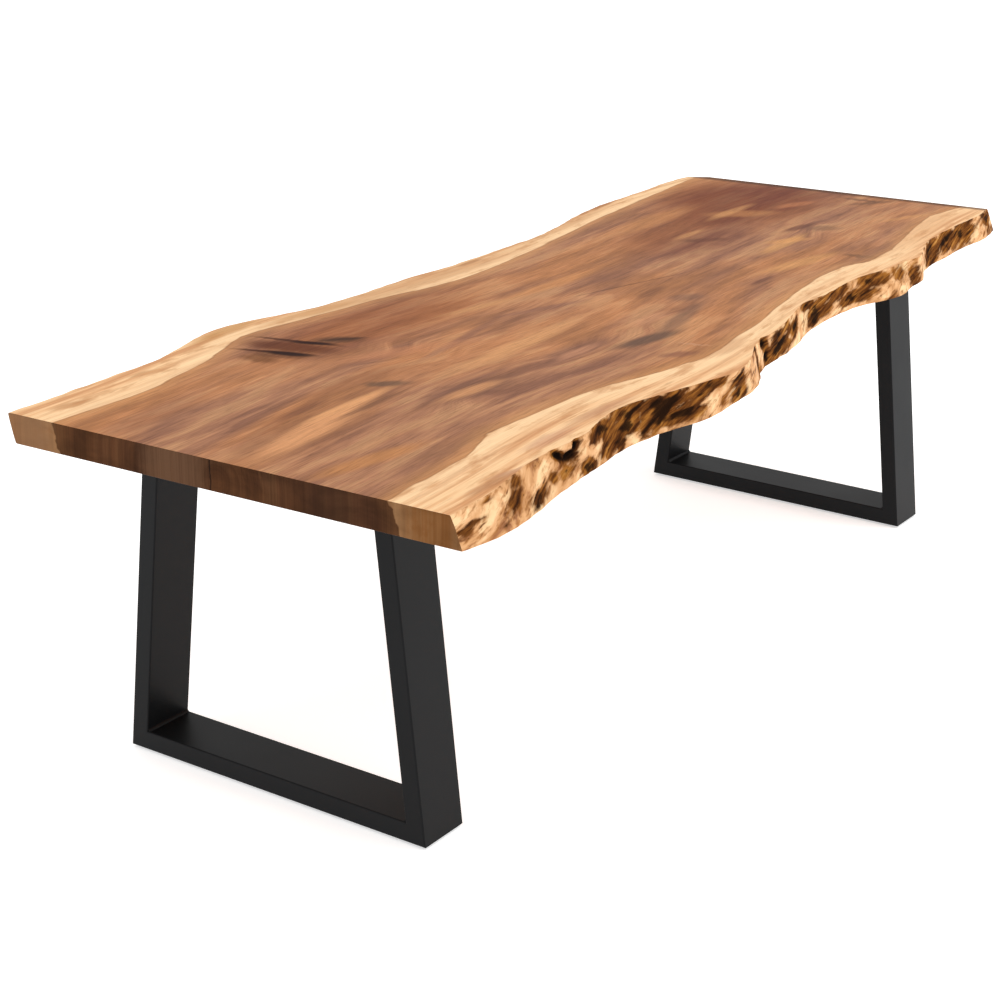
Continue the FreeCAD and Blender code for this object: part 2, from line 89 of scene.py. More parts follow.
def add_node(tree: Tree, kind: str, inputs: dict | None = None, **settings) -> bpy.types.Node:
    """Adds one node with its settings and links.

    Args:
        tree: The node tree that gets the node.
        kind: The node's type name.
        inputs: Socket name or number to a value, or to another node's output.
        settings: The node's own properties; ``ramp`` lists a colour ramp's stops as places and hex colours.

    Returns:
        The new node.
    """
    node = tree.nodes.new(kind)
    ramp = settings.pop("ramp", None)
    for name, value in settings.items():
        setattr(node, name, value)
    if ramp:
        stops = node.color_ramp.elements
        while len(stops) < len(ramp):
            stops.new(0.5)
        for stop, (place, colour) in zip(stops, ramp):
            stop.position = place
            stop.color = linear(colour)
    for socket, value in (inputs or {}).items():
        if isinstance(value, Socket):
            tree.links.new(value, node.inputs[socket])
        else:
            node.inputs[socket].default_value = value
    return node


def new_material(name: str) -> tuple[bpy.types.Material, Tree]:
    """Starts a node material.

    Args:
        name: The finish's name.

    Returns:
        The material and its empty node tree.
    """
    material = bpy.data.materials.new(name)
    material.use_nodes = True
    material.node_tree.nodes.clear()
    return material, material.node_tree


def close_material(tree: Tree, shader: bpy.types.Node) -> None:
    """Links a shader to the material's output."""
    add_node(tree, "ShaderNodeOutputMaterial", {"Surface": shader.outputs[0]})


def drawn_out_noise(
    tree: Tree,
    place: Socket,
    stretch: dict,
    grown: dict,
    vector_type: str = "POINT",
    noise_dimensions: str = "3D",
) -> bpy.types.Node:
    """Draws noise whose features are longer one way than another.

    Args:
        tree: The material's node tree.
        place: Where the noise is read.
        stretch: The noise's place, turn and scale along each axis.
        grown: The noise's detail, roughness and distortion.
        vector_type: TEXTURE where a scale is a feature's size, POINT where it is their number to a metre.
        noise_dimensions: Whether the noise has two or three dimensions.

    Returns:
        The node that draws it.
    """
    mapped = add_node(tree, "ShaderNodeMapping", {"Vector": place, **stretch}, vector_type=vector_type)
    reading = {"Vector": mapped.outputs[0], "Scale": 1.0, **grown}
    return add_node(tree, "ShaderNodeTexNoise", reading, noise_dimensions=noise_dimensions)


def pulled_about(tree: Tree, place: Socket, pull: bpy.types.Node, reach: Place) -> Socket:
    """Shifts each place by a noise, so that a pattern read there wanders.

    Args:
        tree: The material's node tree.
        place: Along, across and up.
        pull: The noise.
        reach: How many metres the noise shifts a place from one extreme to the other, on each axis.

    Returns:
        The shifted place.
    """
    shift = add_node(tree, "ShaderNodeVectorMath", {0: pull.outputs["Color"], 1: CENTRING}, operation="ADD")
    moved = {0: shift.outputs[0], 1: reach, 2: place}
    return add_node(tree, "ShaderNodeVectorMath", moved, operation="MULTIPLY_ADD").outputs[0]


def glazed(
    tree: Tree, under: Socket, over: Socket | str, value: Socket, span: Pair, shares: Pair
) -> Socket:
    """Lays one colour over another, more or less of it as a value changes.

    Args:
        tree: The material's node tree.
        under: The colour underneath.
        over: The colour on top, as six hex digits or as another node's output.
        value: What decides how much of it there is.
        span: The two values between which the share changes.
        shares: The share at each of the two.

    Returns:
        The colour that the two give.
    """
    steps = {"From Min": span[0], "From Max": span[1], "To Min": shares[0], "To Max": shares[1]}
    share = add_node(tree, "ShaderNodeMapRange", {"Value": value, **steps}, **SOFT_STEP).outputs[0]
    layers = {0: share, 6: under, 7: linear(over) if isinstance(over, str) else over}
    return add_node(tree, "ShaderNodeMix", layers, data_type="RGBA").outputs[2]


class Side(Enum):
    """The two steel frames, and which end of the table each stands under."""

    LEFT = "left"
    RIGHT = "right"


class Mark(Enum):
    """The marks on the slab's mesh that its finish reads."""

    HEART = "heart"
    BARK = "bark"
    HOLLOW_SHADE = "hollow"
    GRAIN = "grain"
    SAWN_END = "sawn_end"
    LIVE_EDGE = "live_edge"


@dataclass(frozen=True)
class Spot:
    """An oval place on the slab's face: a streak, a stain or a swell in the rings.

    It lies so many metres along the slab and across it from the slab's middle. Its length and
    width are half the oval's, and its turn is in degrees. A swell's amount is in metres.
    """

    along: float
    across: float
    length: float
    width: float
    turn: float
    amount: float
    colour: str = ""


@dataclass(frozen=True)
class OiledHardwood:
    """Acacia-like hardwood, sanded and oiled: warm brown heart, cream sapwood, a satin sheen.

    The heart's bands are about 60 mm wide, the growth in them 14 mm and the rings 6 mm. All
    are drawn from one distance to the pith, so that the figure on the faces and the arcs on the
    ends agree. A pitch is a figure's features to a metre, along the board and across it. A spot
    fades out at ``fade`` times its size, and a stain is even over ``stain_core`` of it.
    """

    name: str = "oiled_acacia_satin"
    roughness: float = 0.46
    bark_roughness: float = 0.85
    pith_across: float = -0.010
    pith_height: float = 0.722
    pith_wander: Place = (0.0, 0.042, 0.03)
    band_pitch: Pair = (2.4, 17.0)
    growth_pitch: Pair = (3.6, 70.0)
    ring_pitch: Pair = (5.0, 170.0)
    sap_pitch: Pair = (1.4, 50.0)
    arc_pitch: Pair = (1.0, 90.0)
    fibre_pitch: Pair = (9.0, 260.0)
    pore_pitch: Pair = (18.0, 330.0)
    warm_heart: Ramp = ((0.38, "A26D48"), (0.46, "AF764D"), (0.53, "B97D53"), (0.61, "C38A5E"))
    cool_heart: Ramp = ((0.38, "8A5E49"), (0.46, "9D6D52"), (0.53, "AA7758"), (0.61, "B68560"))
    cream_sap: Ramp = ((0.36, "CF9668"), (0.46, "E4B181"), (0.58, "F3C898"))
    bare_wood: Ramp = ((0.36, "A6704B"), (0.45, "D29C6A"), (0.54, "E3B080"), (0.64, "F1CC9B"))
    inner_bark: Ramp = (
        (0.38, "2A160A"),
        (0.46, "522D13"),
        (0.52, "74451D"),
        (0.58, "9A6229"),
        (0.66, "BC8748"),
    )
    growth_share: float = 0.20
    end_evenness: float = 0.45
    bast_fibres: float = 0.40
    flake_tear: float = 1.3
    cloud_tear: float = 1.6
    clump_tear: float = 1.2
    fibre_relief: float = 0.05
    fade: float = 1.2
    stain_core: float = 0.4
    smear_reach: Place = (0.05, 0.024, 0.0)
    teeth_reach: Place = (0.06, 0.006, 0.0)
    border_line: float = 0.010
    border_wobble: float = 0.018
    check_across: float = 0.006
    check_jog: float = 0.006
    rim_from: float = 1.320
    rim_width: float = 0.020
    rim_turn: float = 0.073
    swells: tuple[Spot, ...] = (
        Spot(-0.81, -0.18, 0.14, 0.05, -3, 0.04),
        Spot(-0.43, -0.185, 0.18, 0.06, -2, -0.04),
        Spot(-0.13, -0.215, 0.15, 0.05, -10, 0.036),
        Spot(-0.67, 0.11, 0.15, 0.09, -55, 0.05),
        Spot(0.87, 0.1, 0.2, 0.056, 0, 0.04),
        Spot(0.9, -0.16, 0.12, 0.056, 30, 0.036),
    )
    stains: tuple[Spot, ...] = (
        Spot(1.1, 0.18, 0.36, 0.28, 0, 0.76, "63200C"),
        Spot(0.66, 0.12, 0.34, 0.18, 0, 0.48, "5C1810"),
        Spot(-0.5, 0.28, 0.4, 0.14, 0, 0.4, "6E2404"),
        Spot(-1.15, -0.045, 0.28, 0.056, 3, 0.5, "6F4833"),
        Spot(-1.13, 0.03, 0.2, 0.018, 7, 0.5, "7A4C36"),
        Spot(-1.14, -0.05, 0.24, 0.04, 4, 0.9, "D89A6A"),
        Spot(-0.98, -0.025, 0.17, 0.016, -2, 0.75, "DC9F6C"),
        Spot(-0.96, -0.06, 0.15, 0.011, -2, 0.6, "664332"),
        Spot(-0.85, 0.05, 0.18, 0.036, -6, 0.45, "7E523C"),
        Spot(-0.84, -0.01, 0.055, 0.02, -45, 0.65, "554439"),
        Spot(0.91, -0.17, 0.06, 0.034, -48, 0.5, "654838"),
        Spot(0.69, -0.15, 0.15, 0.024, -1, 0.65, "DAA064"),
        Spot(0.68, -0.385, 0.065, 0.019, -78, 0.55, "5A4030"),
        Spot(1.28, -0.155, 0.1, 0.02, -37, 0.5, "5F4335"),
        Spot(0.94, 0.1, 0.12, 0.044, -48, 0.4, "CE8F57"),
        Spot(-1.05, -0.315, 0.18, 0.028, -7, 0.5, "7F5842"),
        Spot(-1.22, -0.23, 0.16, 0.028, -13, 0.55, "CB8A4F"),
        Spot(0.53, -0.275, 0.17, 0.032, -12, 0.55, "D39A60"),
        Spot(-1.26, 0.245, 0.16, 0.044, 2, 0.45, "875A46"),
        Spot(0.71, 0.275, 0.26, 0.044, -4, 0.45, "C68A57"),
        Spot(0.01, 0.155, 0.2, 0.03, -7, 0.5, "CA8B55"),
        Spot(-0.75, 0.3, 0.11, 0.046, -74, 0.75, "5A2E1A"),
        Spot(-0.85, 0.3, 0.05, 0.03, -80, 0.8, "6E4325"),
        Spot(-0.65, 0.255, 0.06, 0.03, -46, 0.8, "503525"),
        Spot(0.94, 0.135, 0.14, 0.02, -3, 0.5, "D69C64"),
        Spot(0.64, 0.115, 0.085, 0.015, -6, 0.45, "D69C64"),
        Spot(0.61, 0.05, 0.075, 0.024, -43, 0.75, "6A4030"),
        Spot(0.88, -0.11, 0.085, 0.019, -14, 0.75, "6A4234"),
        Spot(0.73, -0.145, 0.08, 0.024, -34, 0.65, "CF935B"),
        Spot(1.29, -0.105, 0.075, 0.015, -86, 0.55, "5A3C30"),
        Spot(0.32, -0.275, 0.07, 0.011, -3, 0.7, "6A4236"),
        Spot(1.13, 0.025, 0.085, 0.026, -20, 0.55, "BE7A50"),
        Spot(1.15, -0.315, 0.1, 0.019, -26, 0.55, "C88E5A"),
        Spot(0.07, -0.09, 0.08, 0.017, 3, 0.55, "6C4636"),
        Spot(-0.2, 0.36, 0.14, 0.026, -6, 0.45, "8A5A40"),
        Spot(-1.06, 0.03, 0.085, 0.014, -1, 0.5, "7A4E3A"),
        Spot(-0.75, -0.135, 0.16, 0.012, -2, 0.6, "845A4B"),
        Spot(-0.5, 0.06, 0.2, 0.015, 11, 0.6, "855B4B"),
        Spot(-0.19, 0.06, 0.15, 0.015, -21, 0.55, "865C4C"),
        Spot(-0.65, 0.1, 0.17, 0.034, -22, 0.6, "C08058"),
        Spot(-0.44, -0.06, 0.27, 0.03, 3, 0.85, "CF9665"),
        Spot(-0.26, 0.185, 0.14, 0.016, -11, 0.6, "C6905F"),
        Spot(-0.74, -0.27, 0.22, 0.009, -4, 0.6, "C48E66"),
        Spot(-0.44, -0.18, 0.12, 0.032, 1, 0.55, "7A5343"),
        Spot(-0.44, -0.185, 0.09, 0.017, 1, 0.75, "BE8665"),
        Spot(-0.13, -0.19, 0.08, 0.024, -8, 0.7, "C48C66"),
        Spot(-0.27, -0.26, 0.13, 0.026, -15, 0.8, "54433A"),
        Spot(-0.08, -0.25, 0.18, 0.026, 5, 0.6, "6A4E42"),
        Spot(0.08, -0.185, 0.06, 0.034, -40, 0.5, "6E5246"),
        Spot(-0.33, -0.365, 0.06, 0.02, -40, 0.6, "7A4C3E"),
        Spot(-0.25, -0.36, 0.045, 0.007, -72, 0.55, "C69370"),
        Spot(-0.77, -0.165, 0.15, 0.046, -5, 0.6, "74503F"),
        Spot(-0.78, -0.17, 0.1, 0.022, -6, 0.85, "C98F62"),
        Spot(-1.13, -0.4, 0.16, 0.004, 0, 0.6, "DDAB7C"),
        Spot(-0.97, -0.36, 0.19, 0.004, -3, 0.5, "D6A274"),
    )
    streaks: tuple[Spot, ...] = (
        Spot(-0.75, 0.3, 0.11, 0.038, -74, 0.55, "5A2A14"),
        Spot(-0.81, 0.285, 0.075, 0.024, -74, 0.6, "3E1A0A"),
        Spot(-0.71, 0.32, 0.12, 0.009, -76, 0.8, "3A1606"),
        Spot(-0.7, 0.28, 0.06, 0.014, -67, 0.97, "2A0C03"),
        Spot(-0.64, 0.25, 0.055, 0.011, -38, 0.6, "2E1A12"),
        Spot(-0.8, 0.31, 0.11, 0.009, -71, 0.85, "3A1505"),
        Spot(-0.79, 0.27, 0.065, 0.017, -73, 0.98, "260A02"),
        Spot(0.11, -0.01, 0.24, 0.004, -20, 0.46, "4A3024"),
    )
    end_stains: tuple[Spot, ...] = (
        Spot(-1.39, 0.085, 0.2, 0.08, 0, 0.85, "D2A07C"),
        Spot(-1.39, 0.425, 0.2, 0.06, 0, 0.75, "EFC399"),
        Spot(-1.39, -0.245, 0.2, 0.07, 0, 0.55, "7A5540"),
        Spot(-1.39, -0.455, 0.2, 0.06, 0, 0.6, "C4843C"),
    )
    sap_stains: tuple[Spot, ...] = (
        Spot(0.8, 0.485, 0.09, 0.014, 3, 0.9, "9A5C2C"),
        Spot(0.69, 0.485, 0.04, 0.01, 5, 0.8, "9A5C2C"),
        Spot(-0.74, 0.485, 0.13, 0.024, 4, 0.75, "BD8850"),
        Spot(-0.5, 0.445, 0.15, 0.02, -5, 0.6, "C8935C"),
        Spot(-1.29, 0.415, 0.06, 0.018, -11, 0.6, "B47A4A"),
        Spot(-1.06, 0.43, 0.05, 0.018, -15, 0.6, "B47A4A"),
        Spot(-0.75, -0.435, 0.13, 0.018, -1, 0.6, "B58160"),
        Spot(-0.22, -0.43, 0.11, 0.024, -3, 0.55, "C08A60"),
        Spot(0.06, 0.455, 0.06, 0.012, 1, 0.7, "A06A40"),
        Spot(-0.22, 0.44, 0.52, 0.05, 0, 0.55, "B98458"),
        Spot(0.5, 0.47, 0.35, 0.04, 0, 0.5, "C08A5C"),
        Spot(0.98, -0.38, 0.42, 0.09, 0, 0.5, "CF9664"),
        Spot(-1.2, -0.47, 0.09, 0.012, -3, 0.65, "A87450"),
        Spot(-1.13, -0.47, 0.05, 0.009, -16, 0.5, "B08068"),
        Spot(-0.94, -0.44, 0.1, 0.02, -5, 0.55, "BE8C72"),
        Spot(-1.07, -0.395, 0.13, 0.004, -2, 0.5, "C08A60"),
        Spot(-0.75, -0.435, 0.075, 0.008, -2, 0.45, "C4906C"),
    )

    def pith_distance(self, tree: Tree, grain: Socket) -> Socket:
        """Works out each point's distance from the wandering pith.

        Args:
            tree: The material's node tree.
            grain: Along, across and up, as the grain mark gives them.

        Returns:
            The distance in metres.
        """
        wander = drawn_out_noise(tree, grain, {"Scale": (0.9, 3.0, 3.0)}, {"Detail": 1.0, "Roughness": 0.4})
        moved = pulled_about(tree, grain, wander, self.pith_wander)
        flat = add_node(tree, "ShaderNodeVectorMath", {0: moved, 1: (0.0, 1.0, 1.0)}, operation="MULTIPLY")
        from_pith = (0.0, -self.pith_across, -self.pith_height)
        away = add_node(tree, "ShaderNodeVectorMath", {0: flat.outputs[0], 1: from_pith}, operation="ADD")
        length = add_node(tree, "ShaderNodeVectorMath", {0: away.outputs[0]}, operation="LENGTH")
        distance = length.outputs["Value"]
        for spot in self.swells:
            swell = {0: self.nearness(tree, grain, spot), 1: spot.amount, 2: distance}
            distance = add_node(tree, "ShaderNodeMath", swell, operation="MULTIPLY_ADD").outputs[0]
        return distance

    def nearness(self, tree: Tree, place: Socket, spot: Spot, core: float = 0.0) -> Socket:
        """Gives one in the middle of a spot, falling smoothly to nothing a little past its rim.

        Args:
            tree: The material's node tree.
            place: Along, across and up.
            spot: The oval.
            core: The share of the oval that is even.

        Returns:
            The nearness, from nought to one.
        """
        near = add_node(tree, "ShaderNodeTexGradient", {"Vector": place}, gradient_type="SPHERICAL")
        near.texture_mapping.vector_type = "TEXTURE"
        near.texture_mapping.translation = (spot.along, spot.across, 0.0)
        near.texture_mapping.rotation = (0.0, 0.0, math.radians(spot.turn))
        near.texture_mapping.scale = (self.fade * spot.length, self.fade * spot.width, FAR)
        reach = {"Value": near.outputs["Fac"], "From Max": 1.0 - core / self.fade}
        return add_node(tree, "ShaderNodeMapRange", reach, **SOFT_STEP).outputs[0]

    def figure(self, tree: Tree, flow: Socket, pitch: Pair, detail: float) -> Socket:
        """Draws noise that runs with the rings.

        Args:
            tree: The material's node tree.
            flow: Along the slab, and distance from the pith.
            pitch: How many features there are to a metre, along and across.
            detail: How many finer layers are added.

        Returns:
            The noise, about one half on average.
        """
        stretch, grown = {"Scale": (*pitch, 1.0)}, {"Detail": detail, "Roughness": 0.6}
        return drawn_out_noise(tree, flow, stretch, grown, noise_dimensions="2D").outputs["Fac"]

    def heart(self, tree: Tree, grain: Socket, flow: Socket) -> Socket:
        """Colours the heartwood from its bands, rings and stains.

        Args:
            tree: The material's node tree.
            grain: Along, across and up.
            flow: Along the slab, and distance from the pith.

        Returns:
            The heartwood's colour.
        """
        bands = self.figure(tree, flow, self.band_pitch, detail=3.0)
        growth = self.figure(tree, flow, self.growth_pitch, detail=3.0)
        both = add_node(tree, "ShaderNodeMix", {0: self.growth_share, 2: bands, 3: growth}).outputs[0]
        warm = add_node(tree, "ShaderNodeValToRGB", {"Fac": both}, ramp=self.warm_heart)
        cool = add_node(tree, "ShaderNodeValToRGB", {"Fac": both}, ramp=self.cool_heart)
        drift = drawn_out_noise(tree, grain, {"Scale": (1.3, 6.0, 6.0)}, {"Detail": 3.0}).outputs["Fac"]
        colour = glazed(tree, cool.outputs[0], warm.outputs[0], drift, (0.37, 0.63), (0.0, 1.0))

        # Thin dark late-wood lines follow the growth.
        centred = add_node(tree, "ShaderNodeMath", {0: growth, 1: -0.5}, operation="ADD")
        gap = add_node(tree, "ShaderNodeMath", {0: centred.outputs[0]}, operation="ABSOLUTE")
        late = add_node(
            tree,
            "ShaderNodeMapRange",
            {"Value": gap.outputs[0], "From Min": 0.0, "From Max": 0.022, "To Min": 0.90, "To Max": 1.0},
            **SOFT_STEP,
        )
        rings = self.figure(tree, flow, self.ring_pitch, detail=3.0)
        ringed = add_node(
            tree,
            "ShaderNodeMapRange",
            {"Value": rings, "From Min": 0.28, "From Max": 0.72, "To Min": 0.92, "To Max": 1.07},
            **SOFT_STEP,
        )
        tones = {0: late.outputs[0], 1: ringed.outputs[0]}
        tone = add_node(tree, "ShaderNodeMath", tones, operation="MULTIPLY").outputs[0]
        toned = add_node(tree, "ShaderNodeHueSaturation", {"Color": colour, "Value": tone}).outputs[0]

        stained = self.stained(tree, grain, rings, toned, self.stains, waver=0.45)
        return self.stained(tree, grain, rings, stained, self.streaks, waver=0.1)

    def stained(
        self, tree: Tree, grain: Socket, rings: Socket, colour: Socket, spots: tuple[Spot, ...], waver: float
    ) -> Socket:
        """Lays stains over a colour, with rims that follow the fibres.

        Args:
            tree: The material's node tree.
            grain: Along, across and up.
            rings: Fine noise that runs with the rings.
            colour: The colour underneath.
            spots: The stains.
            waver: How much their rims wander.

        Returns:
            The stained colour.
        """
        smear = drawn_out_noise(tree, grain, {"Scale": (6.0, 20.0, 20.0)}, {"Detail": 4.0, "Roughness": 0.6})
        teeth = drawn_out_noise(tree, grain, {"Scale": (3.0, 110.0, 110.0)}, {"Detail": 3.0})
        place = grain
        for pull, reach in ((smear, self.smear_reach), (teeth, self.teeth_reach)):
            along, across, up = reach
            place = pulled_about(tree, place, pull, (waver * along, waver * across, waver * up))
        streaky = add_node(
            tree,
            "ShaderNodeMapRange",
            {"Value": rings, "From Min": 0.26, "From Max": 0.64, "To Min": 1.0 - 0.35 * waver, "To Max": 1.0},
            **SOFT_STEP,
        ).outputs[0]
        for spot in spots:
            amount = self.nearness(tree, place, spot, self.stain_core)
            for factor in (spot.amount, streaky):
                product = {0: amount, 1: factor}
                amount = add_node(tree, "ShaderNodeMath", product, operation="MULTIPLY").outputs[0]
            layers = {0: amount, 6: colour, 7: linear(spot.colour)}
            colour = add_node(tree, "ShaderNodeMix", layers, data_type="RGBA").outputs[2]
        return colour

    def sapwood(self, tree: Tree, grain: Socket, flow: Socket, depth: Socket) -> Socket:
        """Colours the cream sapwood, with its tan smudges drawn out along the grain.

        Args:
            tree: The material's node tree.
            grain: Along, across and up.
            flow: Along the slab, and distance from the pith.
            depth: Distance inside the heartwood; negative in the sapwood.

        Returns:
            The sapwood's colour.
        """
        bands = self.figure(tree, flow, self.sap_pitch, detail=3.0)
        colour = add_node(tree, "ShaderNodeValToRGB", {"Fac": bands}, ramp=self.cream_sap).outputs[0]
        pale = glazed(tree, colour, "F9D4A6", depth, (-0.075, -0.012), (0.0, 0.6))
        aslant = {"Rotation": (0, 0, 0.12), "Scale": (8.0, 34.0, 34.0)}
        smudge = drawn_out_noise(tree, grain, aslant, {"Detail": 4.0, "Roughness": 0.6}).outputs["Fac"]
        mottled = glazed(tree, pale, "C38959", smudge, (0.50, 0.68), (0.0, 0.65))
        return self.stained(tree, grain, bands, mottled, self.sap_stains, waver=1.0)

    @staticmethod
    def slanted(
        tree: Tree, place: Socket, slant: float, size: Pair, grown: dict, moved: Place = (0.0, 0.0, 0.0)
    ) -> Socket:
        """Draws noise on the live edge, with features that lie aslant.

        Args:
            tree: The material's node tree.
            place: Object coordinates.
            slant: The features' turn in radians.
            size: Their length and height in metres.
            grown: The noise's detail, roughness and distortion.
            moved: How far the pattern is moved, so that two of them don't agree.

        Returns:
            The noise, about one half on average.
        """
        stretch = {"Location": moved, "Rotation": (0.0, slant, 0.0), "Scale": (size[0], FAR, size[1])}
        return drawn_out_noise(tree, place, stretch, grown, vector_type="TEXTURE").outputs["Fac"]

    def bare_edge(self, tree: Tree, place: Socket) -> tuple[Socket, Socket]:
        """Colours the live edge where the bark has come off, with its thin dark streaks.

        Args:
            tree: The material's node tree.
            place: Object coordinates.

        Returns:
            The bare edge's colour, and the clouds in it.
        """
        soft = {"Detail": 4.0, "Roughness": 0.55, "Distortion": 0.5}
        cloud = self.slanted(tree, place, -0.28, (0.080, 0.026), soft)
        colour = add_node(tree, "ShaderNodeValToRGB", {"Fac": cloud}, ramp=self.bare_wood).outputs[0]
        streak = self.slanted(tree, place, -0.26, (0.050, 0.0075), {"Detail": 4.0, "Roughness": 0.6})
        tanned = glazed(tree, colour, "A8703F", streak, (0.50, 0.62), (0.0, 0.75))
        return glazed(tree, tanned, "4A2E1A", streak, (0.62, 0.67), (0.0, 0.85)), cloud

    def bark(self, tree: Tree, place: Socket) -> tuple[Socket, Socket]:
        """Colours the live edge: bare wood under the bark, the bark that is left, and painted shade in its
        hollows.

        Args:
            tree: The material's node tree.
            place: Object coordinates.

        Returns:
            The live edge's colour, and how much of it is bark.
        """
        colour, cloud = self.bare_edge(tree, place)

        # Bark flakes are a few millimetres; they are drawn 16 mm high and 110 mm long so that they show.
        rough = {"Detail": 5.0, "Roughness": 0.6, "Distortion": 0.5}
        flakes = self.slanted(tree, place, -0.22, (0.110, 0.016), rough)
        fibres = self.slanted(tree, place, -0.22, (0.090, 0.0045), {"Detail": 4.0, "Roughness": 0.6})
        lumpy = {"Detail": 3.0, "Roughness": 0.5}
        lumps = self.slanted(tree, place, -0.26, (0.130, 0.014), lumpy, moved=(0.3, 0.0, 0.1))
        clump = add_node(tree, "ShaderNodeMix", {0: self.bast_fibres, 2: lumps, 3: fibres}).outputs[0]
        bast = add_node(tree, "ShaderNodeValToRGB", {"Fac": clump}, ramp=self.inner_bark).outputs[0]
        strength = add_node(tree, "ShaderNodeAttribute", attribute_name=Mark.BARK.value).outputs["Fac"]
        hollow = add_node(tree, "ShaderNodeAttribute", attribute_name=Mark.HOLLOW_SHADE.value).outputs["Fac"]
        colour = glazed(tree, colour, "9A6536", strength, (0.0, 0.6), (0.0, 0.5))
        torn = strength
        for pattern, tear in ((flakes, self.flake_tear), (cloud, self.cloud_tear)):
            less = {0: pattern, 1: -tear, 2: torn}
            torn = add_node(tree, "ShaderNodeMath", less, operation="MULTIPLY_ADD").outputs[0]
        edges = {"Value": torn, "From Min": -1.36, "From Max": -1.00}
        inner = add_node(tree, "ShaderNodeMapRange", edges, **SOFT_STEP).outputs[0]
        colour = add_node(tree, "ShaderNodeMix", {0: inner, 6: colour, 7: bast}, data_type="RGBA").outputs[2]
        less = {0: clump, 1: -self.clump_tear, 2: torn}
        ragged = add_node(tree, "ShaderNodeMath", less, operation="MULTIPLY_ADD")
        colour = glazed(tree, colour, "1A0F08", ragged.outputs[0], (-1.42, -1.04), (0.0, 0.88))
        # The hollows go towards black the deeper they are: painted shade in the recess, over the dark bark in
        # it.
        return glazed(tree, colour, "0D0705", hollow, (0.35, 0.8), (0.0, 0.93)), inner

    def face(self, tree: Tree, grain: Socket, flow: Socket) -> tuple[Socket, Socket, Socket]:
        """Colours the sanded faces: heart, sapwood, the line between them, fibres and pores.

        Args:
            tree: The material's node tree.
            grain: Along, across and up.
            flow: Along the slab, and distance from the pith.

        Returns:
            The colour, how much of it is heartwood, and the noise of the fibres.
        """
        depth = add_node(tree, "ShaderNodeAttribute", attribute_name=Mark.HEART.value).outputs["Fac"]
        heart = self.heart(tree, grain, flow)
        sap = self.sapwood(tree, grain, flow, depth)
        wobble = drawn_out_noise(tree, grain, {"Scale": (5.0, 60.0, 60.0)}, {"Detail": 3.0}).outputs["Fac"]
        moved = {0: wobble, 1: self.border_wobble, 2: depth}
        edge = add_node(tree, "ShaderNodeMath", moved, operation="MULTIPLY_ADD").outputs[0]
        border = {"Value": edge, "From Min": 0.007, "From Max": 0.0115}
        inside = add_node(tree, "ShaderNodeMapRange", border, **SOFT_STEP).outputs[0]
        heart = glazed(tree, heart, "CC935F", edge, (0.010, 0.060), (0.50, 0.0))
        wood = add_node(tree, "ShaderNodeMix", {0: inside, 6: sap, 7: heart}, data_type="RGBA").outputs[2]
        from_line = add_node(tree, "ShaderNodeMath", {0: edge, 1: -self.border_line}, operation="ADD")
        off_line = add_node(tree, "ShaderNodeMath", {0: from_line.outputs[0]}, operation="ABSOLUTE")
        wood = glazed(tree, wood, "8C5C36", off_line.outputs[0], (0.0004, 0.0032), (0.45, 0.0))

        # Fibres are 0.3 mm wide on the real face; they are drawn 2 mm wide so that they show.
        fibre = self.figure(tree, grain, self.fibre_pitch, detail=4.0)
        tone = add_node(
            tree,
            "ShaderNodeMapRange",
            {"Value": fibre, "From Min": 0.26, "From Max": 0.72, "To Min": 0.85, "To Max": 1.09},
            **SOFT_STEP,
        ).outputs[0]
        # Pores are 0.3 mm wide and 5 mm long; they are drawn 2 mm wide and 25 mm long so that they show.
        pore = self.figure(tree, grain, self.pore_pitch, detail=2.0)
        tick = add_node(
            tree,
            "ShaderNodeMapRange",
            {"Value": pore, "From Min": 0.58, "From Max": 0.70, "To Min": 1.0, "To Max": 0.80},
            **SOFT_STEP,
        ).outputs[0]
        tone = add_node(tree, "ShaderNodeMath", {0: tone, 1: tick}, operation="MULTIPLY").outputs[0]
        fainter = {"Value": inside, "To Min": 0.5, "To Max": 1.0}
        faint = add_node(tree, "ShaderNodeMapRange", fainter, **SOFT_STEP).outputs[0]
        tone = add_node(tree, "ShaderNodeMix", {0: faint, 2: 1.0, 3: tone}).outputs[0]
        wood = add_node(tree, "ShaderNodeHueSaturation", {"Color": wood, "Value": tone}).outputs[0]
        return wood, inside, fibre

    def end_check(self, tree: Tree, grain: Socket, across: Socket, colour: Socket) -> Socket:
        """Draws the fine upright drying check through the pith, about 3 mm wide.

        Args:
            tree: The material's node tree.
            grain: Along, across and up.
            across: How far across the board a point lies.
            colour: The colour underneath.

        Returns:
            The colour with the check.
        """
        jog = add_node(tree, "ShaderNodeTexNoise", {"Vector": grain, "Scale": 60.0, "Detail": 2.0})
        jogged = {0: jog.outputs["Fac"], 1: self.check_jog, 2: across}
        moved = add_node(tree, "ShaderNodeMath", jogged, operation="MULTIPLY_ADD").outputs[0]
        off = add_node(tree, "ShaderNodeMath", {0: moved, 1: self.check_across}, operation="SUBTRACT")
        away = add_node(tree, "ShaderNodeMath", {0: off.outputs[0]}, operation="ABSOLUTE").outputs[0]
        return glazed(tree, colour, "1A0F0A", away, (0.0005, 0.0024), (0.85, 0.0))

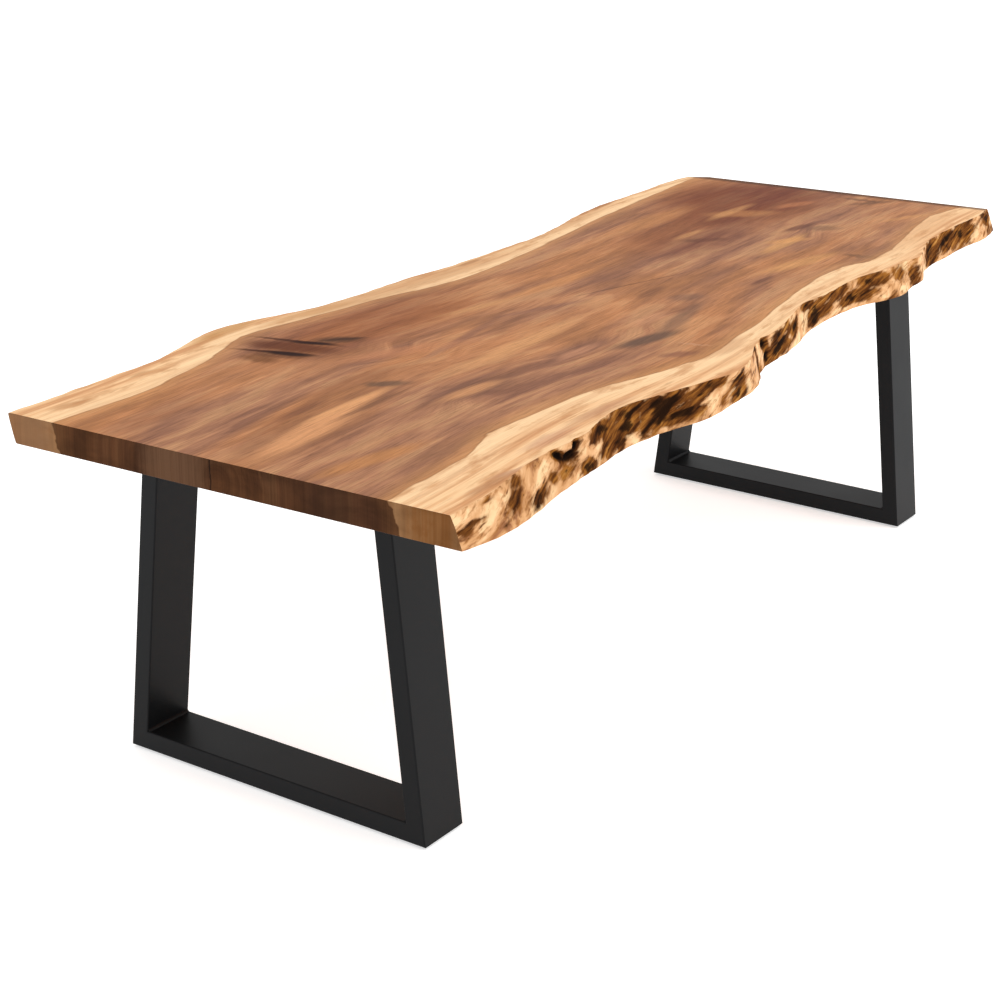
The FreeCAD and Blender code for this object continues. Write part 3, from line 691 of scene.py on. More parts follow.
    def end_grain(
        self, tree: Tree, grain: Socket, flow: Socket, across: Socket, face: tuple[Socket, ...]
    ) -> Socket:
        """Colours the sawn ends: darker than the faces, partly as end grain drinks the oil and partly with
        painted shade for ends turned from the light.

        Args:
            tree: The material's node tree.
            grain: Along, across and up.
            flow: Along the slab, and distance from the pith.
            across: How far across the board a point lies.
            face: The faces' colour, how much of it is heartwood, and the noise of the fibres.

        Returns:
            The ends' colour.
        """
        wood, inside, fibre = face
        # Multiplying by these greys darkens the ends: partly the oil soaked into the end grain, partly
        # painted shade for ends that face away from the light.
        oil_and_shade_tints = {0: inside, 6: linear("8A7E75"), 7: linear("736F6C")}
        oil_and_shade_tint = add_node(tree, "ShaderNodeMix", oil_and_shade_tints, data_type="RGBA").outputs[2]
        plain = {0: inside, 6: linear("D8A672"), 7: linear("9C6845")}
        even = add_node(tree, "ShaderNodeMix", plain, data_type="RGBA").outputs[2]
        evened = {0: self.end_evenness, 6: wood, 7: even}
        dull = add_node(tree, "ShaderNodeMix", evened, data_type="RGBA").outputs[2]
        wet = {"Rotation": (0.5, 0, 0), "Scale": (3.0, 11.0, 24.0)}
        soak = drawn_out_noise(tree, grain, wet, {"Detail": 4.0, "Distortion": 0.6}).outputs["Fac"]
        arcs = self.figure(tree, flow, self.arc_pitch, detail=2.0)
        for pattern, low, spread in ((soak, 0.30, 0.22), (arcs, 0.32, 0.09)):
            steps = {"From Min": low, "From Max": 0.66, "To Min": 1 - spread, "To Max": 1 + spread}
            tone = add_node(tree, "ShaderNodeMapRange", {"Value": pattern, **steps}, **SOFT_STEP).outputs[0]
            dull = add_node(tree, "ShaderNodeHueSaturation", {"Color": dull, "Value": tone}).outputs[0]
        stained = self.stained(tree, grain, fibre, dull, self.end_stains, waver=1.0)
        layers = {0: 1.0, 6: stained, 7: oil_and_shade_tint}
        dark = add_node(tree, "ShaderNodeMix", layers, data_type="RGBA", blend_type="MULTIPLY").outputs[2]
        return self.end_check(tree, grain, across, dark)

    def far_rim(self, tree: Tree, along: Socket, across: Socket, wood: Socket) -> Socket:
        """Darkens a fine line along the far sawn end, which lies a little out of square.

        Args:
            tree: The material's node tree.
            along: How far along the board a point lies.
            across: How far across it lies.
            wood: The colour underneath.

        Returns:
            The colour with the line.
        """
        turned = {0: across, 1: self.rim_turn, 2: along}
        squared = add_node(tree, "ShaderNodeMath", turned, operation="MULTIPLY_ADD").outputs[0]
        span = (self.rim_from, self.rim_from + self.rim_width)
        return glazed(tree, wood, "4A2F20", squared, span, (0.0, 0.75))

    def make(self) -> bpy.types.Material:
        """Builds the slab's material.

        Returns:
            The material.
        """
        material, tree = new_material(self.name)
        grain = add_node(tree, "ShaderNodeAttribute", attribute_name=Mark.GRAIN.value).outputs["Vector"]
        place = add_node(tree, "ShaderNodeTexCoord").outputs["Object"]
        along, across, _ = add_node(tree, "ShaderNodeSeparateXYZ", {0: grain}).outputs
        away = self.pith_distance(tree, grain)
        flow = add_node(tree, "ShaderNodeCombineXYZ", {0: along, 1: away}).outputs[0]
        wood, inside, fibre = self.face(tree, grain, flow)
        sawn = add_node(tree, "ShaderNodeAttribute", attribute_name=Mark.SAWN_END.value).outputs["Fac"]
        ends = self.end_grain(tree, grain, flow, across, (wood, inside, fibre))
        wood = add_node(tree, "ShaderNodeMix", {0: sawn, 6: wood, 7: ends}, data_type="RGBA").outputs[2]
        wood = self.far_rim(tree, along, across, wood)
        live = add_node(tree, "ShaderNodeAttribute", attribute_name=Mark.LIVE_EDGE.value).outputs["Fac"]
        bark, crust = self.bark(tree, place)
        colour = add_node(tree, "ShaderNodeMix", {0: live, 6: wood, 7: bark}, data_type="RGBA").outputs[2]

        barky = add_node(tree, "ShaderNodeMath", {0: live, 1: crust}, operation="MULTIPLY").outputs[0]
        worn = {"Value": barky, "To Min": self.roughness, "To Max": self.bark_roughness}
        rough = add_node(tree, "ShaderNodeMapRange", worn, clamp=False).outputs[0]
        grit = add_node(tree, "ShaderNodeTexNoise", {"Vector": place, "Scale": 240.0, "Detail": 3.0})
        gritty = {0: grit.outputs["Fac"], 1: barky}
        relief = add_node(tree, "ShaderNodeMath", gritty, operation="MULTIPLY").outputs[0]
        both = {0: fibre, 1: self.fibre_relief, 2: relief}
        height = add_node(tree, "ShaderNodeMath", both, operation="MULTIPLY_ADD")
        raised = {"Height": height.outputs[0], "Strength": 0.6, "Distance": 0.003}
        shader = add_node(
            tree,
            "ShaderNodeBsdfPrincipled",
            {
                "Base Color": colour,
                "Roughness": rough,
                "Normal": add_node(tree, "ShaderNodeBump", raised).outputs[0],
                "IOR": 1.47,
                "Specular IOR Level": 0.02,
            },
        )
        close_material(tree, shader)
        return material


@dataclass(frozen=True)
class PowderCoat:
    """Polyester powder coat on steel, sprayed and baked: satin black with a fine orange peel."""

    name: str = "powder_coat_satin_black"
    colour: str = "0D0E0F"
    light: str = "141517"
    roughness: float = 0.42

    def make(self) -> bpy.types.Material:
        """Builds the coat's material.

        Returns:
            The material.
        """
        material, tree = new_material(self.name)
        place = add_node(tree, "ShaderNodeTexCoord").outputs["Object"]
        # Orange peel has a pitch of about 1.5 mm.
        peel = add_node(tree, "ShaderNodeTexNoise", {"Vector": place, "Scale": 650.0, "Detail": 2.0})
        drift = add_node(tree, "ShaderNodeTexNoise", {"Vector": place, "Scale": 5.0, "Detail": 2.0})
        shades = {0: drift.outputs["Fac"], 6: linear(self.colour), 7: linear(self.light)}
        colour = add_node(tree, "ShaderNodeMix", shades, data_type="RGBA")
        sheen = {"To Min": self.roughness - 0.05, "To Max": self.roughness + 0.07}
        rough = add_node(tree, "ShaderNodeMapRange", {"Value": drift.outputs["Fac"], **sheen})
        raised = {"Height": peel.outputs["Fac"], "Strength": 0.12, "Distance": 0.0005}
        bump = add_node(tree, "ShaderNodeBump", raised)
        shader = add_node(
            tree,
            "ShaderNodeBsdfPrincipled",
            {
                "Base Color": colour.outputs[2],
                "Roughness": rough.outputs[0],
                "Normal": bump.outputs[0],
                "IOR": 1.5,
                "Specular IOR Level": 0.11,
            },
        )
        close_material(tree, shader)
        return material


@dataclass(frozen=True)
class PlainMetal:
    """Small turned or plated metal parts: bright zinc on the screws, bare brass in the bores."""

    name: str
    colour: str
    tarnish: str
    roughness: float

    def make(self) -> bpy.types.Material:
        """Builds the metal's material.

        Returns:
            The material.
        """
        material, tree = new_material(self.name)
        place = add_node(tree, "ShaderNodeTexCoord").outputs["Object"]
        bloom = add_node(tree, "ShaderNodeTexNoise", {"Vector": place, "Scale": 260.0, "Detail": 4.0})
        shades = {0: bloom.outputs["Fac"], 6: linear(self.colour), 7: linear(self.tarnish)}
        colour = add_node(tree, "ShaderNodeMix", shades, data_type="RGBA")
        sheen = {"To Min": self.roughness - 0.08, "To Max": self.roughness + 0.12}
        rough = add_node(tree, "ShaderNodeMapRange", {"Value": bloom.outputs["Fac"], **sheen})
        finish = {"Base Color": colour.outputs[2], "Roughness": rough.outputs[0], "Metallic": 1.0}
        shader = add_node(tree, "ShaderNodeBsdfPrincipled", finish)
        close_material(tree, shader)
        return material


@dataclass(frozen=True)
class MouldedNylon:
    """Black nylon, injection moulded: a fine spark-eroded texture and a dull sheen."""

    name: str = "nylon_moulded_black"
    colour: str = "17181A"
    worn: str = "26282A"

    def make(self) -> bpy.types.Material:
        """Builds the nylon's material.

        Returns:
            The material.
        """
        material, tree = new_material(self.name)
        place = add_node(tree, "ShaderNodeTexCoord").outputs["Object"]
        grit = add_node(tree, "ShaderNodeTexNoise", {"Vector": place, "Scale": 1400.0, "Detail": 2.0})
        patch = add_node(tree, "ShaderNodeTexNoise", {"Vector": place, "Scale": 90.0, "Detail": 3.0})
        shades = {0: patch.outputs["Fac"], 6: linear(self.colour), 7: linear(self.worn)}
        colour = add_node(tree, "ShaderNodeMix", shades, data_type="RGBA")
        raised = {"Height": grit.outputs["Fac"], "Strength": 0.2, "Distance": 0.0002}
        bump = add_node(tree, "ShaderNodeBump", raised)
        shader = add_node(
            tree,
            "ShaderNodeBsdfPrincipled",
            {"Base Color": colour.outputs[2], "Roughness": 0.55, "Normal": bump.outputs[0], "IOR": 1.53},
        )
        close_material(tree, shader)
        return material


@dataclass(frozen=True)
class StudioPaper:
    """Seamless white studio paper."""

    name: str = "studio_paper_white"
    colour: str = "EFEFEF"
    glow: float = 0.52

    def make(self) -> bpy.types.Material:
        """Builds the paper's material.

        Returns:
            The material.
        """
        material, tree = new_material(self.name)
        shader = add_node(
            tree,
            "ShaderNodeBsdfPrincipled",
            {
                "Base Color": linear(self.colour),
                "Roughness": 0.9,
                "Emission Color": (1, 1, 1, 1),
                "Emission Strength": self.glow,
            },
        )
        close_material(tree, shader)
        return material


@dataclass(frozen=True)
class BarkPatch:
    """Bark left on the live edge, or a hollow in it.

    Metres along the slab; height and rise are shares of the thickness, counted from the
    underside; depth goes into the wood, lean is metres along per unit of height, and a patch of
    more weight holds more bark.
    """

    along: float
    height: float
    reach: float
    rise: float
    depth: float = 0.0
    lean: float = 0.0
    weight: float = 1.0

    def nearness(self, x: float, height: float, knob: float) -> float:
        """Says how near a point on the live edge is to the patch's middle.

        Args:
            x: Metres along the slab.
            height: The share of the thickness, counted from the underside.
            knob: The edge's knobs there, which break up the patch's outline.

        Returns:
            About one in the middle, and nearly nought outside the patch.
        """
        aside = (x - self.along - self.lean * (height - self.height)) / self.reach
        above = (height - self.height) / self.rise
        return math.exp(-0.9 * (aside * aside + above * above)) * (1 + 0.3 * knob)


@dataclass
class LiveEdgeSlab:
    """The solid slab with its two live edges, modelled over the CAD slab's outline.

    A relief is how far its bumps stand out in metres, and a pitch is how many of them there are
    to a metre, along the slab and upwards. The corner cut runs from one x and y to the other.
    """

    node: str = "live_edge_slab"
    columns: int = 800
    rows: int = 36
    levels: int = 14
    half_nominal: float = 0.480
    back_above: float = 0.40
    front_below: float = -0.30
    same_height: float = 0.0006
    top: float = 0.760
    underside: float = 0.703
    live_arris: float = 0.0022
    sawn_arris: float = 0.0010
    bulge: float = 0.001
    cut_relief: float = 0.001
    swell_relief: float = 0.0035
    swell_pitch: Pair = (9.0, 14.0)
    knob_relief: float = 0.0022
    knob_pitch: Pair = (30.0, 34.0)
    bark_relief: float = 0.0016
    bark_pitch: Pair = (90.0, 80.0)
    back_seed: float = 7.3
    knob_seed: float = 3.1
    bark_seed: float = 5.7
    faintest_bark: float = 0.02
    most_bark: float = 1.3
    deep_hollow: float = 0.012
    back_slope: float = 0.25
    front_slope: float = 0.45
    row_crowding: float = 0.6
    square_on: float = 0.9
    smooth_angle: float = 40.0
    grain_smoothing: float = 64.0
    corner_cut: tuple[float, float, float, float] = (1.296, 0.555, 1.3296, 0.504)
    back_heartline: tuple[Pair, ...] = (
        (-1.39, 0.334), (-1.27, 0.332), (-1.19, 0.332), (-1.10, 0.341), (-1.00, 0.362),
        (-0.90, 0.392), (-0.81, 0.424), (-0.75, 0.445), (-0.69, 0.446), (-0.59, 0.434),
        (-0.51, 0.424), (-0.43, 0.414), (-0.36, 0.410), (-0.29, 0.400), (-0.23, 0.389),
        (-0.17, 0.378), (-0.10, 0.370), (0.00, 0.373), (0.09, 0.378), (0.19, 0.392),
        (0.33, 0.410), (0.44, 0.427), (0.64, 0.458), (0.95, 0.496), (1.30, 0.535),
    )
    front_heartline: tuple[Pair, ...] = (
        (-1.35, -0.409), (-1.27, -0.394), (-1.19, -0.388), (-1.11, -0.383), (-0.98, -0.338),
        (-0.88, -0.336), (-0.80, -0.339), (-0.71, -0.339), (-0.65, -0.345), (-0.59, -0.356),
        (-0.52, -0.377), (-0.43, -0.393), (-0.34, -0.409), (-0.25, -0.406), (-0.13, -0.384),
        (-0.01, -0.368), (0.12, -0.338), (0.29, -0.309), (0.43, -0.291), (0.55, -0.288),
        (0.64, -0.315), (0.79, -0.309), (1.00, -0.260), (1.21, -0.222), (1.37, -0.241),
    )
    front_bark: tuple[BarkPatch, ...] = (
        BarkPatch(-1.345, 0.50, 0.020, 0.06, 0.001, 0.02, 0.55),
        BarkPatch(-1.300, 0.62, 0.039, 0.05, 0.001, 0.05, 0.55),
        BarkPatch(-1.250, 0.90, 0.022, 0.06, 0.001, 0.02, 0.55),
        BarkPatch(-1.150, 0.84, 0.026, 0.14, 0.003, 0.02, 0.69),
        BarkPatch(-1.180, 0.62, 0.033, 0.18, 0.002, 0.10, 0.61),
        BarkPatch(-1.100, 0.22, 0.042, 0.16, 0.004, 0.08, 0.72),
        BarkPatch(-1.030, 0.42, 0.015, 0.20, 0.002, 0.04, 0.61),
        BarkPatch(-0.983, 0.80, 0.016, 0.16, 0.012, -0.03, 1.20),
        BarkPatch(-0.950, 0.66, 0.026, 0.14, 0.014, 0.04, 1.20),
        BarkPatch(-0.922, 0.84, 0.012, 0.16, 0.010, 0.05, 1.10),
        BarkPatch(-0.985, 0.36, 0.024, 0.12, 0.003, 0.06, 0.90),
        BarkPatch(-0.912, 0.18, 0.026, 0.18, 0.004, 0.02, 1.00),
        BarkPatch(-0.812, 0.82, 0.043, 0.21, 0.005, 0.05, 1.10),
        BarkPatch(-0.800, 0.30, 0.049, 0.25, 0.004, 0.03, 1.00),
        BarkPatch(-0.735, 0.50, 0.068, 0.18, 0.006, 0.10, 1.10),
        BarkPatch(-0.690, 0.84, 0.081, 0.23, 0.003, 0.06, 1.00),
        BarkPatch(-0.620, 0.66, 0.081, 0.39, 0.003, 0.05, 1.00),
        BarkPatch(-0.590, 0.34, 0.068, 0.18, 0.006, 0.10, 1.10),
        BarkPatch(-0.520, 0.72, 0.046, 0.16, 0.003, 0.10, 1.00),
        BarkPatch(-0.455, 0.86, 0.046, 0.18, 0.002, 0.05, 0.90),
        BarkPatch(-0.360, 0.66, 0.030, 0.16, 0.002, 0.03, 0.85),
        BarkPatch(-0.368, 0.30, 0.041, 0.32, 0.005, 0.02, 0.95),
        BarkPatch(-0.205, 0.60, 0.019, 0.46, 0.001, 0.01, 0.80),
        BarkPatch(-0.124, 0.80, 0.020, 0.22, 0.012, -0.01, 1.10),
        BarkPatch(-0.115, 0.36, 0.020, 0.26, 0.010, 0.02, 1.10),
        BarkPatch(-0.050, 0.40, 0.062, 0.34, 0.006, 0.03, 1.00),
        BarkPatch(-0.030, 0.84, 0.054, 0.14, 0.002, 0.03, 0.90),
        BarkPatch(0.060, 0.66, 0.041, 0.23, 0.003, 0.04, 0.90),
        BarkPatch(0.190, 0.88, 0.033, 0.16, 0.005, 0.02, 1.01),
        BarkPatch(0.240, 0.52, 0.065, 0.37, 0.004, 0.06, 0.92),
        BarkPatch(0.340, 0.82, 0.065, 0.25, 0.003, 0.05, 0.92),
        BarkPatch(0.420, 0.44, 0.065, 0.21, 0.006, 0.04, 1.01),
        BarkPatch(0.520, 0.80, 0.054, 0.21, 0.003, 0.04, 0.92),
        BarkPatch(0.645, 0.72, 0.039, 0.25, 0.003, 0.03, 0.78),
        BarkPatch(0.715, 0.44, 0.033, 0.34, 0.003, 0.03, 0.87),
        BarkPatch(0.925, 0.56, 0.054, 0.46, 0.006, 0.02, 1.01),
        BarkPatch(1.040, 0.68, 0.076, 0.32, 0.004, 0.05, 0.92),
        BarkPatch(1.160, 0.56, 0.076, 0.46, 0.005, 0.04, 0.92),
        BarkPatch(1.340, 0.66, 0.039, 0.34, 0.003, 0.0, 0.87),
    )
    back_bark: tuple[BarkPatch, ...] = (
        BarkPatch(-1.180, 0.45, 0.060, 0.26, 0.003, 0.04),
        BarkPatch(-0.880, 0.60, 0.030, 0.20, 0.003),
        BarkPatch(-0.500, 0.75, 0.060, 0.30, 0.004, 0.03),
        BarkPatch(-0.160, 0.30, 0.045, 0.20, 0.003),
        BarkPatch(0.140, 0.55, 0.090, 0.34, 0.005, 0.05),
        BarkPatch(0.480, 0.40, 0.050, 0.26, 0.004),
        BarkPatch(0.760, 0.88, 0.045, 0.20, 0.003, 0.02),
        BarkPatch(0.840, 0.70, 0.045, 0.30, 0.004, 0.02),
        BarkPatch(1.120, 0.45, 0.070, 0.30, 0.004, 0.04),
    )
    finish: OiledHardwood = field(default_factory=OiledHardwood)

    def rings(self, level: float, lowest: float, highest: float) -> np.ndarray:
        """Reads one edge line of the CAD slab.

        Args:
            level: Height of the line.
            lowest: The lowest y the line has.
            highest: The highest y the line has.

        Returns:
            The line's x and y, sorted along the slab.
        """
        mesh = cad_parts[self.node].data
        points = np.empty(len(mesh.vertices) * 3)
        mesh.vertices.foreach_get("co", points)
        points = points.reshape(-1, 3)
        level_with = abs(points[:, 2] - level) < self.same_height
        line = points[level_with & (points[:, 1] > lowest) & (points[:, 1] < highest)][:, :2]
        return line[np.argsort(line[:, 0])]

    def level_heights(self) -> np.ndarray:
        """Gives the shares of the thickness at which the wall's rows lie, closest at the arrises."""
        steps = np.arange(self.levels + 1) / self.levels
        return 0.5 - 0.5 * np.cos(math.pi * steps)

    @staticmethod
    def bumps(pitch: Pair, seed: float, x: float, z: float) -> float:
        """Reads smooth noise at a place on the live edge."""
        return noise.noise(Vector((x * pitch[0], seed, z * pitch[1])))

    def bark_at(
        self, patches: tuple[BarkPatch, ...], x: float, height: float, knob: float
    ) -> tuple[float, float]:
        """Adds up the bark patches at a point on the live edge.

        Args:
            patches: The edge's bark patches.
            x: Metres along the slab.
            height: The share of the thickness, counted from the underside.
            knob: The edge's knobs there.

        Returns:
            The bark's strength, and how far a hollow goes in.
        """
        bark, sink = 0.0, 0.0
        for patch in patches:
            near = patch.nearness(x, height, knob)
            if near > self.faintest_bark:
                bark = max(bark, min(patch.weight * near, self.most_bark))
                sink = max(sink, patch.depth * near)
        return bark, sink

    def rounding(self, height: float) -> float:
        """Says how far the rounded arris falls back from the live edge's face.

        Args:
            height: The share of the thickness, counted from the underside.

        Returns:
            The distance in metres, which is nought away from the arrises.
        """
        reach = min(height, 1 - height) * (self.top - self.underside)
        if reach >= self.live_arris:
            return 0.0
        return self.live_arris - math.sqrt(self.live_arris**2 - (self.live_arris - reach) ** 2)

    def wall(self, outward: int) -> tuple[np.ndarray, np.ndarray]:
        """Shapes one live edge.

        Args:
            outward: Plus one for the back edge and minus one for the front edge.

        Returns:
            Points by column and level, and the bark's strength and the hollows' depth at each.
        """
        low, high = (self.back_above, math.inf) if outward > 0 else (-math.inf, self.front_below)
        upper, lower = self.rings(self.top, low, high), self.rings(self.underside, low, high)
        patches = self.back_bark if outward > 0 else self.front_bark
        seed = self.back_seed if outward > 0 else 0.0
        points = np.zeros((self.columns + 1, self.levels + 1, 3))
        marks = np.zeros((2, self.columns + 1, self.levels + 1))
        heights = self.level_heights()
        x_cut, y_cut, x_end, y_end = self.corner_cut
        for k in range(self.columns + 1):
            share = k / self.columns
            for j, h in enumerate(heights):
                first = lower[0, 0] * (1 - h) + upper[0, 0] * h
                last = x_end if outward > 0 else lower[-1, 0] * (1 - h) + upper[-1, 0] * h
                x = first * (1 - share) + last * share
                y = np.interp(x, *lower.T) * (1 - h) + np.interp(x, *upper.T) * h
                z = self.underside + (self.top - self.underside) * h
                swell = self.bumps(self.swell_pitch, seed, x, z)
                knob = self.bumps(self.knob_pitch, seed + self.knob_seed, x, z)
                grit = self.bumps(self.bark_pitch, seed + self.bark_seed, x, z)
                bark, sink = self.bark_at(patches, x, h, knob)
                out = self.bulge * 4 * h * (1 - h) + self.swell_relief * swell
                out += self.knob_relief * knob * (1 + swell)
                out += bark * self.bark_relief * grit - sink
                out -= self.rounding(h)
                y += outward * out
                if outward > 0 and x > x_cut:
                    cut = y_cut + (y_end - y_cut) * (x - x_cut) / (x_end - x_cut)
                    y = min(y, cut + self.cut_relief * knob)
                points[k, j] = (x, min(max(y, CAD_BOX[0][1]), CAD_BOX[1][1]), z)
                marks[:, k, j] = bark, sink / self.deep_hollow
        return points, marks

    def smoothed(self, line: np.ndarray) -> np.ndarray:
        """Smooths a line along the slab, so that the grain runs straighter than the edges do.

        Args:
            line: One value to a column.

        Returns:
            The smoothed values.
        """
        reach = int(2.5 * self.grain_smoothing)
        weights = np.exp(-0.5 * (np.arange(-reach, reach + 1) / self.grain_smoothing) ** 2)
        return np.convolve(np.pad(line, reach, mode="edge"), weights / weights.sum(), mode="valid")

    def blank(self) -> bpy.types.Object:
        """Models the blank: a fine grid, extruded down and cut into levels.

        Returns:
            The blank, two units square and one deep, as shares of the slab's sizes.
        """
        bpy.ops.object.select_all(action="DESELECT")
        bpy.ops.mesh.primitive_grid_add(
            x_subdivisions=self.columns, y_subdivisions=self.rows, size=2, location=(0, 0, 1)
        )
        slab = bpy.context.object
        slab.name = slab.data.name = "slab_dressed"
        bpy.ops.object.transform_apply(location=True, rotation=True, scale=True)
        bpy.ops.object.mode_set(mode="EDIT")
        bpy.ops.mesh.select_all(action="SELECT")
        bpy.ops.mesh.extrude_region_move(TRANSFORM_OT_translate={"value": (0, 0, -1)})
        bpy.ops.mesh.select_all(action="DESELECT")
        shape = bmesh.from_edit_mesh(slab.data)
        for edge in shape.edges:
            a, b = edge.verts
            edge.select_set(abs(a.co.z - b.co.z) > 0.5)
        bmesh.update_edit_mesh(slab.data)
        bpy.ops.mesh.subdivide(number_cuts=self.levels - 1)
        bpy.ops.mesh.select_all(action="SELECT")
        bpy.ops.mesh.normals_make_consistent(inside=False)
        bpy.ops.object.mode_set(mode="OBJECT")
        return slab

    @staticmethod
    def mark(mesh: bpy.types.Mesh, mark: Mark, values: np.ndarray, domain: str = "POINT") -> None:
        """Writes one mark on the mesh for the finish to read.

        Args:
            mesh: The slab's mesh.
            mark: The mark.
            values: One value, or one place, to a point or face.
            domain: Whether the values belong to points or to faces.
        """
        kind, name = ("FLOAT_VECTOR", "vector") if values.ndim > 1 else ("FLOAT", "value")
        layer = mesh.attributes.new(mark.value, kind, domain)
        layer.data.foreach_set(name, values.astype(np.float32).ravel())

    def build(self) -> bpy.types.Object:
        """Builds the slab over the CAD outline and marks its kinds of wood.

        Returns:
            The finished slab.
        """
        back, back_bark = self.wall(1)
        front, front_bark = self.wall(-1)
        slab = self.blank()
        mesh = slab.data
        shares = np.empty(len(mesh.vertices) * 3)
        mesh.vertices.foreach_get("co", shares)
        shares = shares.reshape(-1, 3)
        normals = np.empty(len(mesh.polygons) * 3)
        mesh.polygons.foreach_get("normal", normals)
        normals = normals.reshape(-1, 3)

        column = np.rint((shares[:, 0] + 1) / 2 * self.columns).astype(int)
        level = np.rint(shares[:, 2] * self.levels).astype(int)
        crowded = np.sin(shares[:, 1] * math.pi / 2)
        across = self.row_crowding * crowded + (1 - self.row_crowding) * shares[:, 1]
        share = ((across + 1) / 2)[:, None]
        points = front[column, level] * (1 - share) + back[column, level] * share

        heights = self.level_heights()[level]
        reach = np.minimum(heights, 1 - heights) * (self.top - self.underside)
        short = np.clip(self.sawn_arris - reach, 0, None)
        inset = self.sawn_arris - np.sqrt(np.clip(self.sawn_arris**2 - short**2, 0, None))
        points[:, 0] += np.where(column == 0, inset, 0) - np.where(column == self.columns, inset, 0)
        mesh.vertices.foreach_set("co", points.ravel())

        x, y, z = points.T
        back_line, front_line = np.array(self.back_heartline), np.array(self.front_heartline)
        drop = self.top - z
        inner = np.interp(x, back_line[:, 0], back_line[:, 1]) - self.back_slope * drop - y
        outer = y - np.interp(x, front_line[:, 0], front_line[:, 1]) + self.front_slope * drop
        edge = np.where(shares[:, 1] < 0, front_bark[:, column, level], back_bark[:, column, level])
        bark, hollow = np.where(abs(shares[:, 1]) > 0.999, edge, 0.0)
        middle = self.smoothed((back[:, -1, 1] + front[:, -1, 1]) / 2)
        half = self.smoothed((back[:, -1, 1] - front[:, -1, 1]) / 2)
        aside = self.half_nominal * (y - middle[column]) / half[column]
        self.mark(mesh, Mark.HEART, np.minimum(inner, outer))
        self.mark(mesh, Mark.BARK, bark)
        # The hollows' depth, which the finish turns into painted shade.
        self.mark(mesh, Mark.HOLLOW_SHADE, hollow)
        self.mark(mesh, Mark.GRAIN, np.column_stack([x, aside, z]))
        self.mark(mesh, Mark.SAWN_END, abs(normals[:, 0]) > self.square_on, "FACE")
        self.mark(mesh, Mark.LIVE_EDGE, abs(normals[:, 1]) > self.square_on, "FACE")
        mesh.update()
        bpy.ops.object.shade_smooth_by_angle(angle=math.radians(self.smooth_angle))
        return slab

    def dress(self, slab: bpy.types.Object) -> None:
        """Gives the slab its finish and its place in the frame.

        Args:
            slab: The built slab.
        """
        slab.data.materials.clear()
        slab.data.materials.append(self.finish.make())
        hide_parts(self.node)
        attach(slab, "table")


@dataclass
class SteelFrame:
    """One welded steel frame with its plate, fasteners and glides, as the CAD has them."""

    side: Side
    coat: bpy.types.Material
    zinc: bpy.types.Material
    brass: bpy.types.Material
    nylon: bpy.types.Material

    def finishes(self) -> dict[str, bpy.types.Material]:
        """Gives each node's finish.

        Returns:
            Node name to material.
        """
        coated = ("floor_rail", "back_post", "front_post", "top_plate", "frame_welds")
        plated = ("plate_bolts", "plate_washers", "rivet_nuts", "back_glide_stud", "front_glide_stud")
        table = {f"{self.side.value}_{part}": self.coat for part in coated}
        table |= {f"{self.side.value}_{part}": self.zinc for part in plated}
        table |= {f"{self.side.value}_{part}": self.nylon for part in ("back_glide_pad", "front_glide_pad")}
        table[f"{self.side.value}_thread_inserts"] = self.brass
        return table

    def dress(self) -> int:
        """Puts each node's finish on its slots.

        Returns:
            How many nodes were dressed.
        """
        finishes = self.finishes()
        for node, material in finishes.items():
            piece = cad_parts[node]
            for slot in piece.material_slots:
                slot.material = material
            if not piece.material_slots:
                piece.data.materials.append(material)
        return len(finishes)


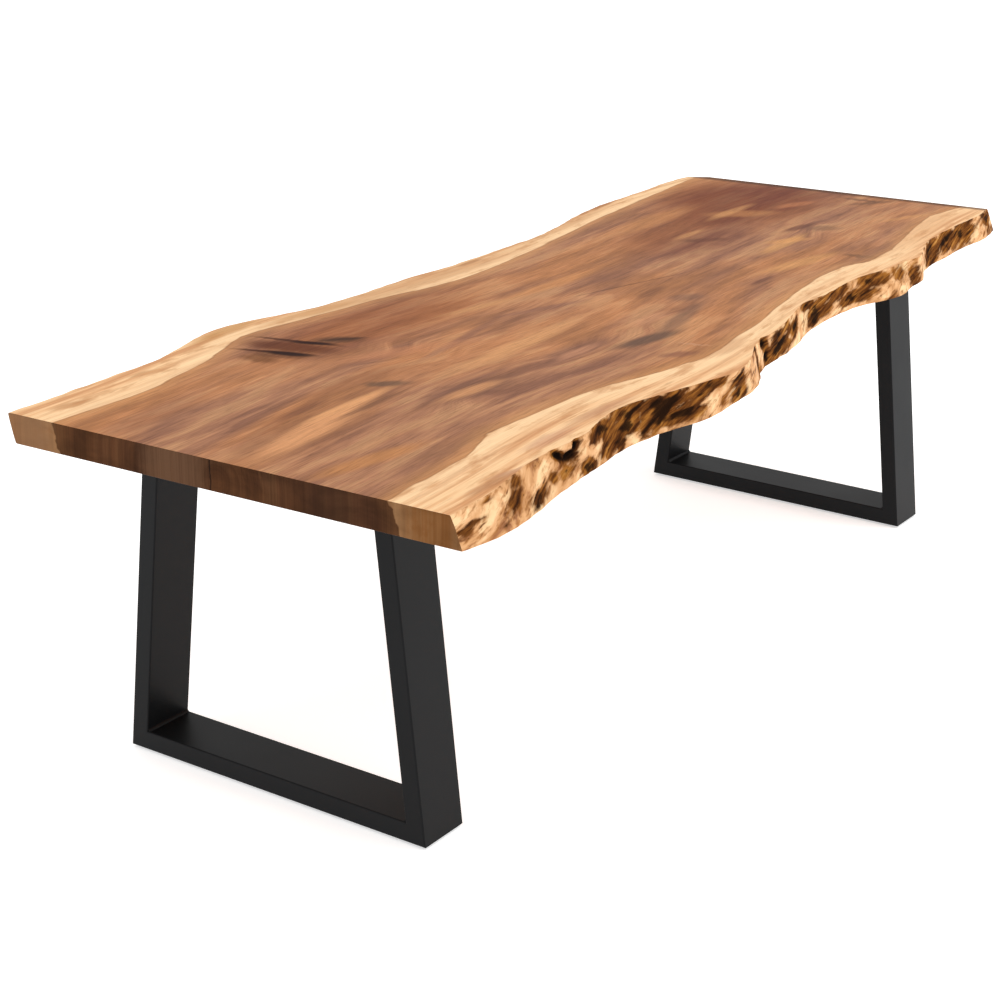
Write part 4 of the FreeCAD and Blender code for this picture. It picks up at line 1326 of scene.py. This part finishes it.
@dataclass
class Studio:
    """A pale seamless floor, soft light from above and from both sides, and the camera.

    The camera's turns are in degrees, and its lens and sensor in millimetres. A softbox is its
    place, its target, its size in metres and its power in watts.
    """

    eye: Place = (-3.85366, -2.34235, 1.90326)
    heading: float = 34.308
    dip: float = 19.848
    roll: float = 0.477
    lens: float = 74.5747
    sensor: float = 36.0
    sight: tuple[float, float] = (0.05, 300.0)
    shift: tuple[float, float] = (-0.00776, -0.00191)
    floor_size: float = 120.0
    sky: float = 0.84
    top_light: float = 0.75
    top_light_from: Place = (0.10, -0.30, 1.0)
    top_light_spread: float = 60.0
    softboxes: tuple[tuple[Place, Place, float, float], ...] = (
        ((1.9, -3.2, 2.4), (0.3, 0.0, 0.4), 2.4, 30.0),
        ((-4.4, 1.4, 1.8), (-1.0, 0.0, 0.5), 1.8, 16.0),
    )
    paper: StudioPaper = field(default_factory=StudioPaper)

    def camera(self) -> bpy.types.Object:
        """Places the camera.

        Returns:
            The camera.
        """
        data = bpy.data.cameras.new("camera")
        data.sensor_width, data.lens = self.sensor, self.lens
        data.shift_x, data.shift_y = self.shift
        data.clip_start, data.clip_end = self.sight
        camera = bpy.data.objects.new("camera", data)
        bpy.context.scene.collection.objects.link(camera)
        heading = Matrix.Rotation(math.radians(self.heading - 90), 4, "Z")
        dip = Matrix.Rotation(math.radians(90 - self.dip), 4, "X")
        roll = Matrix.Rotation(math.radians(self.roll), 4, "Z")
        camera.matrix_world = Matrix.Translation(self.eye) @ (heading @ dip) @ roll
        bpy.context.scene.camera = camera
        return camera

    def floor(self) -> bpy.types.Object:
        """Lays the paper floor.

        Returns:
            The floor.
        """
        bpy.ops.object.select_all(action="DESELECT")
        bpy.ops.mesh.primitive_plane_add(size=self.floor_size, location=(0, 0, 0))
        floor = bpy.context.object
        floor.name = "studio_floor"
        floor.data.materials.append(self.paper.make())
        return floor

    def lights(self) -> None:
        """Lights the set: an even sky, a soft overhead and two softboxes."""
        world = bpy.data.worlds.new("studio_sky")
        bpy.context.scene.world = world
        world.use_nodes = True
        world.node_tree.nodes.clear()
        sky = add_node(world.node_tree, "ShaderNodeBackground", {"Color": (1, 1, 1, 1), "Strength": self.sky})
        add_node(world.node_tree, "ShaderNodeOutputWorld", {"Surface": sky.outputs[0]})
        data = bpy.data.lights.new("overhead", "SUN")
        data.energy, data.angle = self.top_light, math.radians(self.top_light_spread)
        overhead = bpy.data.objects.new("overhead", data)
        bpy.context.scene.collection.objects.link(overhead)
        overhead.rotation_euler = Vector(self.top_light_from).to_track_quat("Z", "Y").to_euler()
        for number, (place, target, size, power) in enumerate(self.softboxes):
            data = bpy.data.lights.new(f"softbox_{number}", "AREA")
            data.size, data.energy = size, power
            box = bpy.data.objects.new(f"softbox_{number}", data)
            bpy.context.scene.collection.objects.link(box)
            box.location = place
            box.rotation_euler = (Vector(place) - Vector(target)).to_track_quat("Z", "Y").to_euler()

    def set_up(self) -> None:
        """Sets the camera, floor and lights, with colours shown as they are."""
        self.camera()
        self.floor()
        self.lights()
        bpy.context.scene.view_settings.view_transform = "Standard"


def main() -> None:
    """Builds and dresses the table and sets the studio."""
    logging.basicConfig(level=logging.INFO, format="%(name)s: %(message)s")
    Studio().set_up()
    slab = LiveEdgeSlab()
    piece = slab.build()
    slab.dress(piece)
    LOG.info("%s: %d faces", piece.name, len(piece.data.polygons))
    coat = PowderCoat().make()
    zinc = PlainMetal("zinc_plated_steel_bright", "B9BDC2", "8F949A", 0.34).make()
    brass = PlainMetal("brass_turned", "C9A45C", "8E6F38", 0.32).make()
    nylon = MouldedNylon().make()
    for side in Side:
        dressed = SteelFrame(side, coat, zinc, brass, nylon).dress()
        LOG.info("%s frame: %d nodes dressed", side.value, dressed)


if __name__ == "__main__":
    main()
